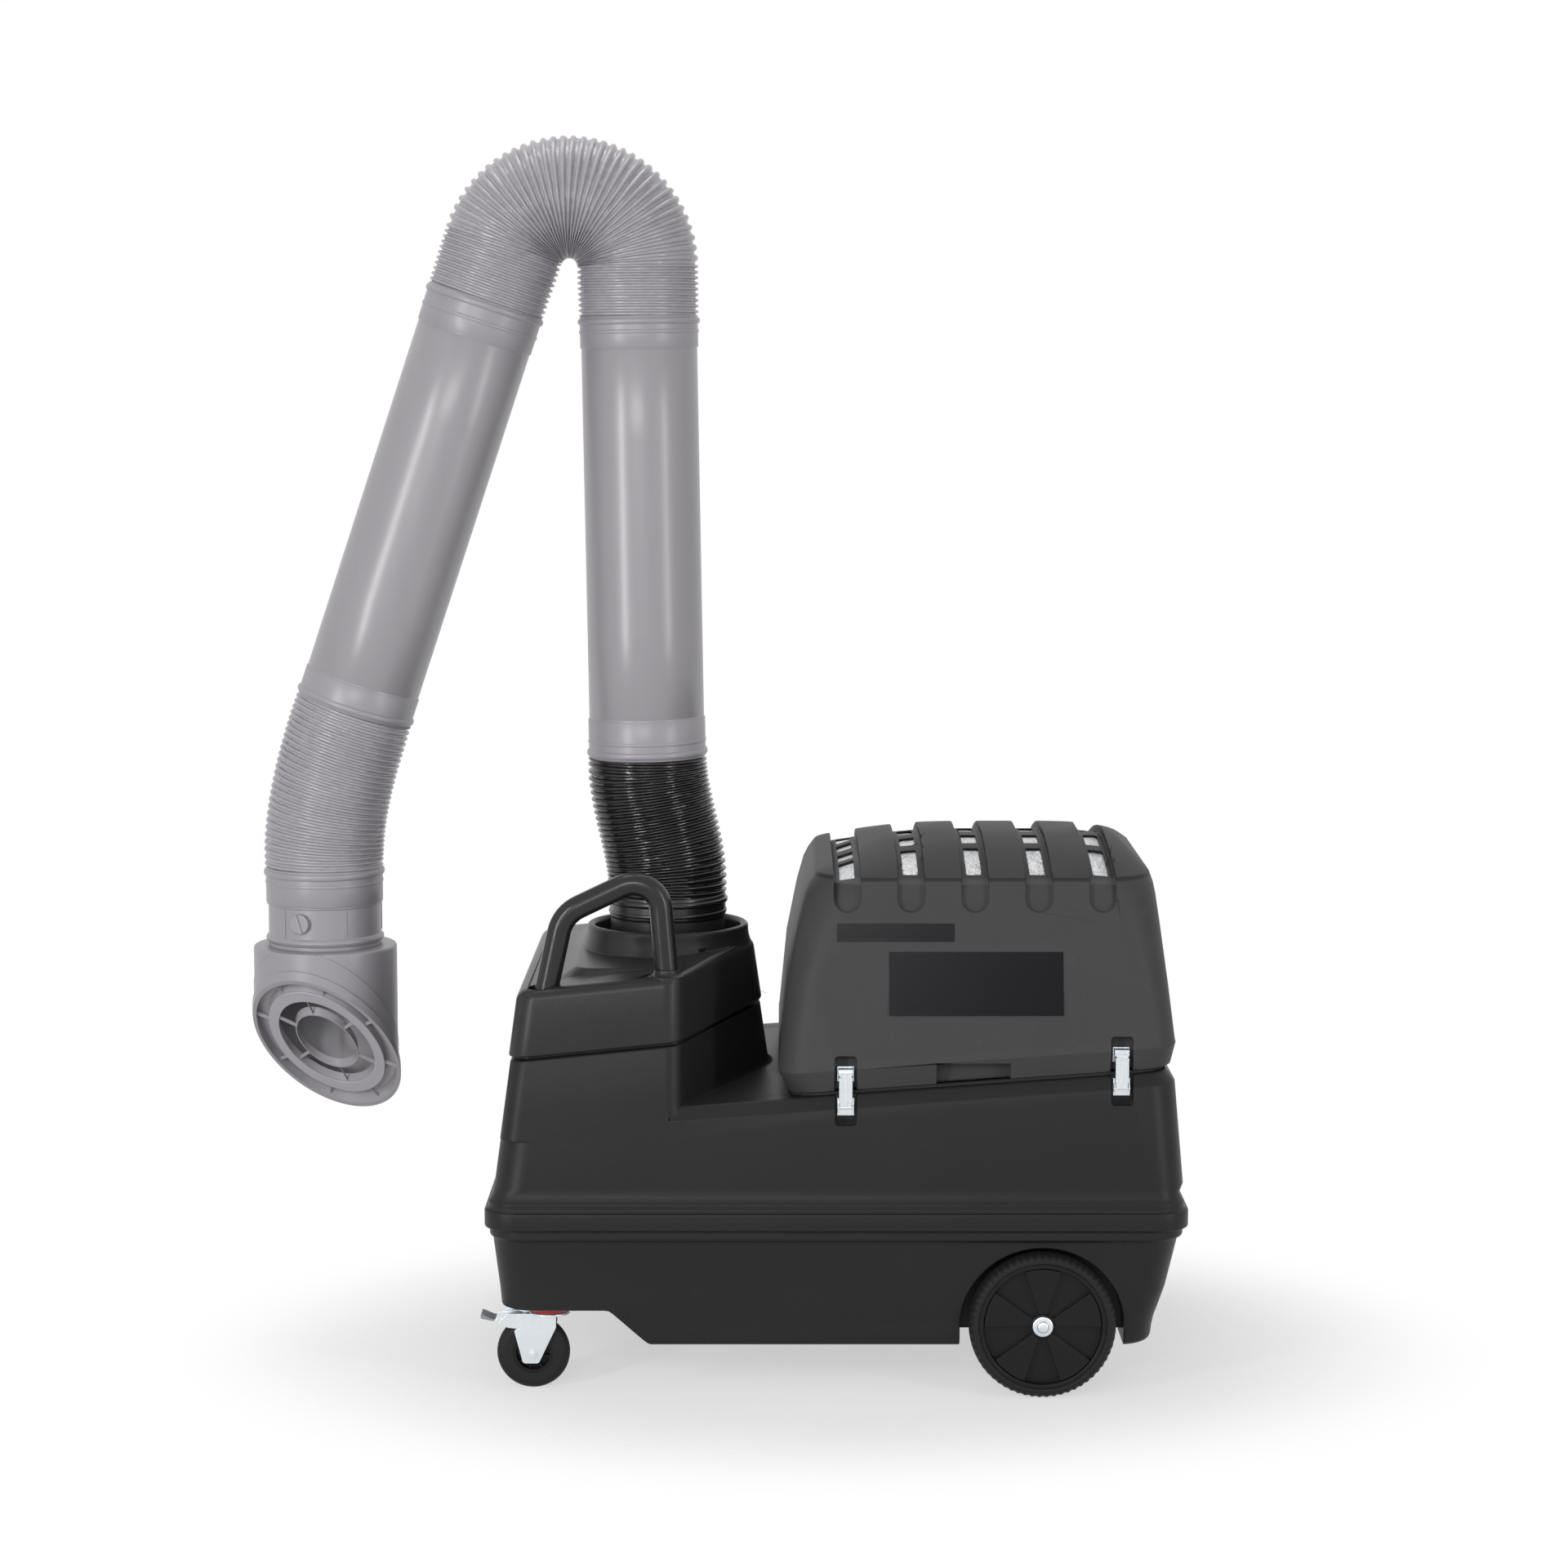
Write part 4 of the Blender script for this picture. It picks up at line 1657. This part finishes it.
def build_duct():
    """The pipe from the collar's seat down into the cabinet."""
    seat = COLLAR_SEAT - COLLAR_SEAT_THICKNESS - GAP
    flange = duct_flange()
    low = PEDESTAL_FOOT
    profile = [(flange, seat), (flange, seat - CAP_WALL), (DUCT_BORE, seat - CAP_WALL),
               (DUCT_BORE, low), (DUCT_BORE - SCROLL_WALL, low), (DUCT_BORE - SCROLL_WALL, seat)]
    smooth(on_collar(turned("inlet_duct", profile, FINE_STEPS // 2, FAN_GREY, 0.5)))


def shoulder_point():
    return in_plane(COLLAR_X + SHOULDER_FROM_COLLAR, SHOULDER_HEIGHT)


def elbow_pivot():
    return elbow_centre() + in_plane(0, ELBOW_PIVOT_RISE)


def wrist_point():
    """Where the outer tube's axis meets the nozzle's axis."""
    x = COLLAR_X + NOZZLE_FROM_COLLAR
    start = outer_point(0)
    return start + outer_way() * ((x - start.x) / outer_way().x)


def bar_outline(route):
    """A flat bar's edge: the route moved to each side, with round ends."""
    half = BAR_WIDTH / 2
    sides = ([], [])
    for i, here in enumerate(route):
        ways = []
        if i:
            ways.append((here - route[i - 1]).normalized())
        if i < len(route) - 1:
            ways.append((route[i + 1] - here).normalized())
        way = sum(ways, Vector()).normalized()
        flank = Vector((-way.z, 0, way.x)) * half
        if len(ways) == 2:
            flank = flank / ways[0].dot(way)
        sides[0].append(here + flank)
        sides[1].append(here - flank)
    outline = list(sides[0]) + round_end(route[-1], route[-1] - route[-2], half)
    outline += list(reversed(sides[1])) + round_end(route[0], route[0] - route[1], half)
    return [(p.x, p.z) for p in outline]


def round_end(centre, way, half, steps=4):
    way = way.normalized()
    flank = Vector((-way.z, 0, way.x))
    points = []
    for k in range(1, steps):
        turn = math.pi * k / steps
        points.append(centre + flank * half * math.cos(turn) + way * half * math.sin(turn))
    return points


def build_bar(name, route, side, pins, holes, crosses, reach):
    """A support bar on one side of the arm's middle plane, with its pivot pins and cross pins."""
    spans = sorted((side * BAR_INNER_Y, side * BAR_OUTER_Y))
    bar = across(name, bar_outline(route), *spans, ZINC, 0.4, 0.9)
    for k, p in enumerate(holes):
        combine(bar, along_y(rod(f"{name}_hole_{k}", clear_of(BAR_PIN, PIN_STEPS), BAR_WIDTH * 2, PIN_STEPS),
                             p.x, 0, p.z))
    for k, p in enumerate(pins):
        far = -side * (BAR_OUTER_Y + BAR_PIN / 2)
        near = side * (BAR_INNER_Y + BAR_OUTER_Y) / 2
        pin = rod(f"{name}_pin_{k}", BAR_PIN, abs(far - near), PIN_STEPS)
        combine(bar, along_y(pin, p.x, (far + near) / 2, p.z), "UNION")
    for k, p in enumerate(crosses):
        cross = rod(f"{name}_cross_{k}", CROSS_PIN, 2 * reach, PIN_STEPS)
        combine(bar, along_y(cross, p.x, 0, p.z), "UNION")


def build_bars():
    shoulder, elbow, wrist = shoulder_point(), elbow_pivot(), wrist_point()
    tube_reach = (TUBE_RADIUS - TUBE_WALL) * math.cos(math.pi / ROUND_STEPS) - GAP
    pipe_reach = (TUBE_RADIUS - 2 * TUBE_WALL) * math.cos(math.pi / ROUND_STEPS) - GAP
    base = in_plane(COLLAR_X, TURNTABLE_TOP - CROSS_PIN_INSET)
    build_bar("shoulder_bar", [base, shoulder], -1, [shoulder], [], [base], pipe_reach)
    low = inner_point(INNER_LOW_SEAM - CROSS_PIN_INSET)
    top = inner_point(INNER_SEAM + CROSS_PIN_INSET)
    knee = inner_point(0)
    build_bar("inner_bar", [shoulder, low, top, knee, elbow], 1, [], [shoulder, elbow],
              [low, top], tube_reach)
    top = outer_point(OUTER_SEAM + CROSS_PIN_INSET)
    low = outer_point(OUTER_LOW_SEAM - CROSS_PIN_INSET)
    knee = outer_point(0)
    build_bar("outer_bar", [elbow, knee, top, low, wrist], -1, [elbow, wrist], [], [top, low],
              tube_reach)
    neck = in_plane(COLLAR_X + NOZZLE_FROM_COLLAR,
                    DAMPER_HEIGHT + DAMPER_BLADE_HALF + BAR_WIDTH / 2 + DAMPER_CLEARANCE)
    low = WRIST_CUFF_BOTTOM + CUFF_OVERLAP
    share = (neck.z + CROSS_PIN - low) / (WRIST_HOSE_END - low)
    neck_reach = TUBE_RADIUS + (HOSE_BORE - TUBE_RADIUS) * share
    neck_reach = neck_reach * math.cos(math.pi / ROUND_STEPS) - GAP
    build_bar("wrist_bar", [wrist, neck], 1, [], [wrist], [neck], neck_reach)


def on_nozzle(obj):
    obj.location.x = COLLAR_X + NOZZLE_FROM_COLLAR
    return obj


def build_neck():
    """The neck ring between the wrist cuff and the nozzle, with the damper's bearings."""
    top = WRIST_CUFF_BOTTOM + CUFF_OVERLAP - GAP
    inner = NECK_RADIUS - NECK_WALL
    bead = TUBE_RADIUS + NECK_BEAD
    high = WRIST_CUFF_BOTTOM - GAP
    low = NOZZLE_TOP + GAP
    profile = [(NECK_RADIUS, top), (NECK_RADIUS, high), (bead, high), (bead, high - NECK_BEAD_HEIGHT),
               (NECK_RADIUS, high - NECK_BEAD_HEIGHT - NECK_BEAD), (NECK_RADIUS, low), (inner, low),
               (inner, top)]
    neck = on_nozzle(turned("nozzle_neck", profile, ROUND_STEPS, ARM_GREY, 0.4))
    bore = rod("damper_bore", clear_of(DAMPER_SPINDLE, SMALL_STEPS), 3 * NECK_RADIUS, SMALL_STEPS)
    combine(neck, face_mouth(bore, DAMPER_HEIGHT))
    smooth(neck)


def face_mouth(obj, z, out=0):
    """Lays a shape made up Z along the way that the nozzle's mouth faces."""
    way = Vector((-math.sin(NOZZLE_TURN), -math.cos(NOZZLE_TURN), 0))
    centre = Vector((COLLAR_X + NOZZLE_FROM_COLLAR, 0, z))
    return stand_along(obj, centre + way * out, way)


def build_damper():
    """A round blade on a spindle, with its knob outside the neck."""
    inner = (NECK_RADIUS - NECK_WALL) * math.cos(math.pi / ROUND_STEPS)
    knob_back = NECK_RADIUS + GAP
    knob = rod("damper", DAMPER_KNOB_RADIUS, DAMPER_KNOB_DEPTH, SMALL_STEPS, ARM_GREY, 0.4)
    face_mouth(knob, DAMPER_HEIGHT, knob_back + DAMPER_KNOB_DEPTH / 2)
    spindle_length = 2 * NECK_RADIUS + DAMPER_KNOB_DEPTH / 2
    spindle = rod("damper_spindle", DAMPER_SPINDLE, spindle_length, SMALL_STEPS)
    combine(knob, face_mouth(spindle, DAMPER_HEIGHT, DAMPER_KNOB_DEPTH / 4), "UNION")
    grip = block("damper_grip", (-DAMPER_KNOB_RADIUS, -DAMPER_GRIP / 2, 0),
                 (DAMPER_KNOB_RADIUS, DAMPER_GRIP / 2, DAMPER_GRIP_DEPTH + DAMPER_KNOB_DEPTH / 2))
    face_mouth(grip, DAMPER_HEIGHT, knob_back + DAMPER_KNOB_DEPTH / 2)
    combine(knob, grip, "UNION")
    blade = rod("damper_blade", inner - DAMPER_CLEARANCE, DAMPER_BLADE_THICKNESS, FINE_STEPS // 2)
    blade.matrix_world = (Matrix.Translation((COLLAR_X + NOZZLE_FROM_COLLAR, 0, DAMPER_HEIGHT))
                          @ Matrix.Rotation(-NOZZLE_TURN, 4, "Z")
                          @ Matrix.Rotation(math.pi / 2, 4, "Y"))
    flats = block("blade_flats", (-DAMPER_BLADE_HALF, -NECK_RADIUS, -NECK_RADIUS),
                  (DAMPER_BLADE_HALF, NECK_RADIUS, NECK_RADIUS))
    flats.matrix_world = blade.matrix_world
    combine(blade, flats, "INTERSECT")
    combine(knob, blade, "UNION")
    smooth(knob)


def mouth_slab(name, low, high):
    """The space between two planes that lie along the mouth, as a slanting block."""
    size = 4 * NOZZLE_RADIUS
    slab = block(name, (-size, -size, low), (size, size, high))
    tilt = math.atan(NOZZLE_MOUTH_SLOPE_SHARE)
    centre = Vector((COLLAR_X + NOZZLE_FROM_COLLAR, 0, NOZZLE_MOUTH_HEIGHT))
    slab.matrix_world = (Matrix.Translation(centre) @ Matrix.Rotation(-NOZZLE_TURN, 4, "Z")
                         @ Matrix.Rotation(-tilt, 4, "X"))
    return slab


def build_nozzle():
    deep = NOZZLE_MOUTH_HEIGHT - 2 * NOZZLE_RADIUS
    inner = NOZZLE_RADIUS - NOZZLE_WALL
    hole = NECK_RADIUS - NECK_WALL
    edge = NOZZLE_EDGE
    profile = [(NOZZLE_RADIUS - edge, NOZZLE_TOP), (NOZZLE_RADIUS, NOZZLE_TOP - edge),
               (NOZZLE_RADIUS, deep), (inner, deep), (inner, NOZZLE_TOP - edge),
               (hole, NOZZLE_TOP - edge), (hole, NOZZLE_TOP)]
    shell = on_nozzle(turned("nozzle_shell", profile, FINE_STEPS, ARM_GREY, 0.35))
    lip = on_nozzle(pipe("nozzle_lip", NOZZLE_RADIUS + NOZZLE_LIP, inner + NOZZLE_WALL / 2, deep,
                         NOZZLE_TOP, FINE_STEPS))
    combine(lip, mouth_slab("above_lip", NOZZLE_LIP_DEPTH, 3 * NOZZLE_RADIUS))
    combine(shell, lip, "UNION")
    combine(shell, mouth_slab("below_mouth", -4 * NOZZLE_RADIUS, 0))
    smooth(shell)
    build_guard(inner, deep)


def build_guard(inner, deep):
    """The spoked guard in the mouth: a broad ring, a small ring and spokes, sliced on the slant."""
    top = NOZZLE_TOP - 2 * NOZZLE_EDGE
    guard = on_nozzle(pipe("mouth_guard", GUARD_RING_OUTER, GUARD_RING_INNER, deep, top,
                           ROUND_STEPS, HOSE_GREY, 0.35))
    eye = on_nozzle(pipe("guard_eye", GUARD_EYE_OUTER, GUARD_EYE_INNER, deep, top, ROUND_STEPS // 2))
    combine(guard, eye, "UNION")
    reach = inner * math.cos(math.pi / FINE_STEPS) - GAP
    for k in range(GUARD_SPOKES):
        spoke = block(f"guard_spoke_{k}", (GUARD_EYE_INNER + GUARD_SPOKE, -GUARD_SPOKE / 2, deep),
                      (reach, GUARD_SPOKE / 2, top))
        spoke.rotation_euler.z = 2 * math.pi * (k + 0.5) / GUARD_SPOKES - NOZZLE_TURN
        on_nozzle(spoke)
        combine(guard, spoke, "UNION")
    combine(guard, mouth_slab("guard_slice", GUARD_RECESS, GUARD_RECESS + GUARD_THICKNESS),
            "INTERSECT")
    smooth(guard)


def build():
    clear_scene()
    build_upper_shell()
    build_tub()
    build_cap()
    build_handle()
    build_hood()
    build_vent_mesh()
    build_seal()
    build_filter()
    build_hinge_rods()
    for name, x in zip(("latch_left", "latch_right"), LATCHES_FROM_COLLAR):
        build_latch(name, COLLAR_X + x)
    build_axle()
    for name, side in (("near_wheel", -1), ("far_wheel", 1)):
        build_big_wheel(name, side)
    for name, side in (("near_castor", -1), ("far_castor", 1)):
        build_castor(name, side)
    build_fan()
    build_panel()
    build_duct()
    build_turntable()
    build_tubes()
    build_hoses()
    build_cuffs()
    build_bars()
    build_neck()
    build_damper()
    build_nozzle()


build()
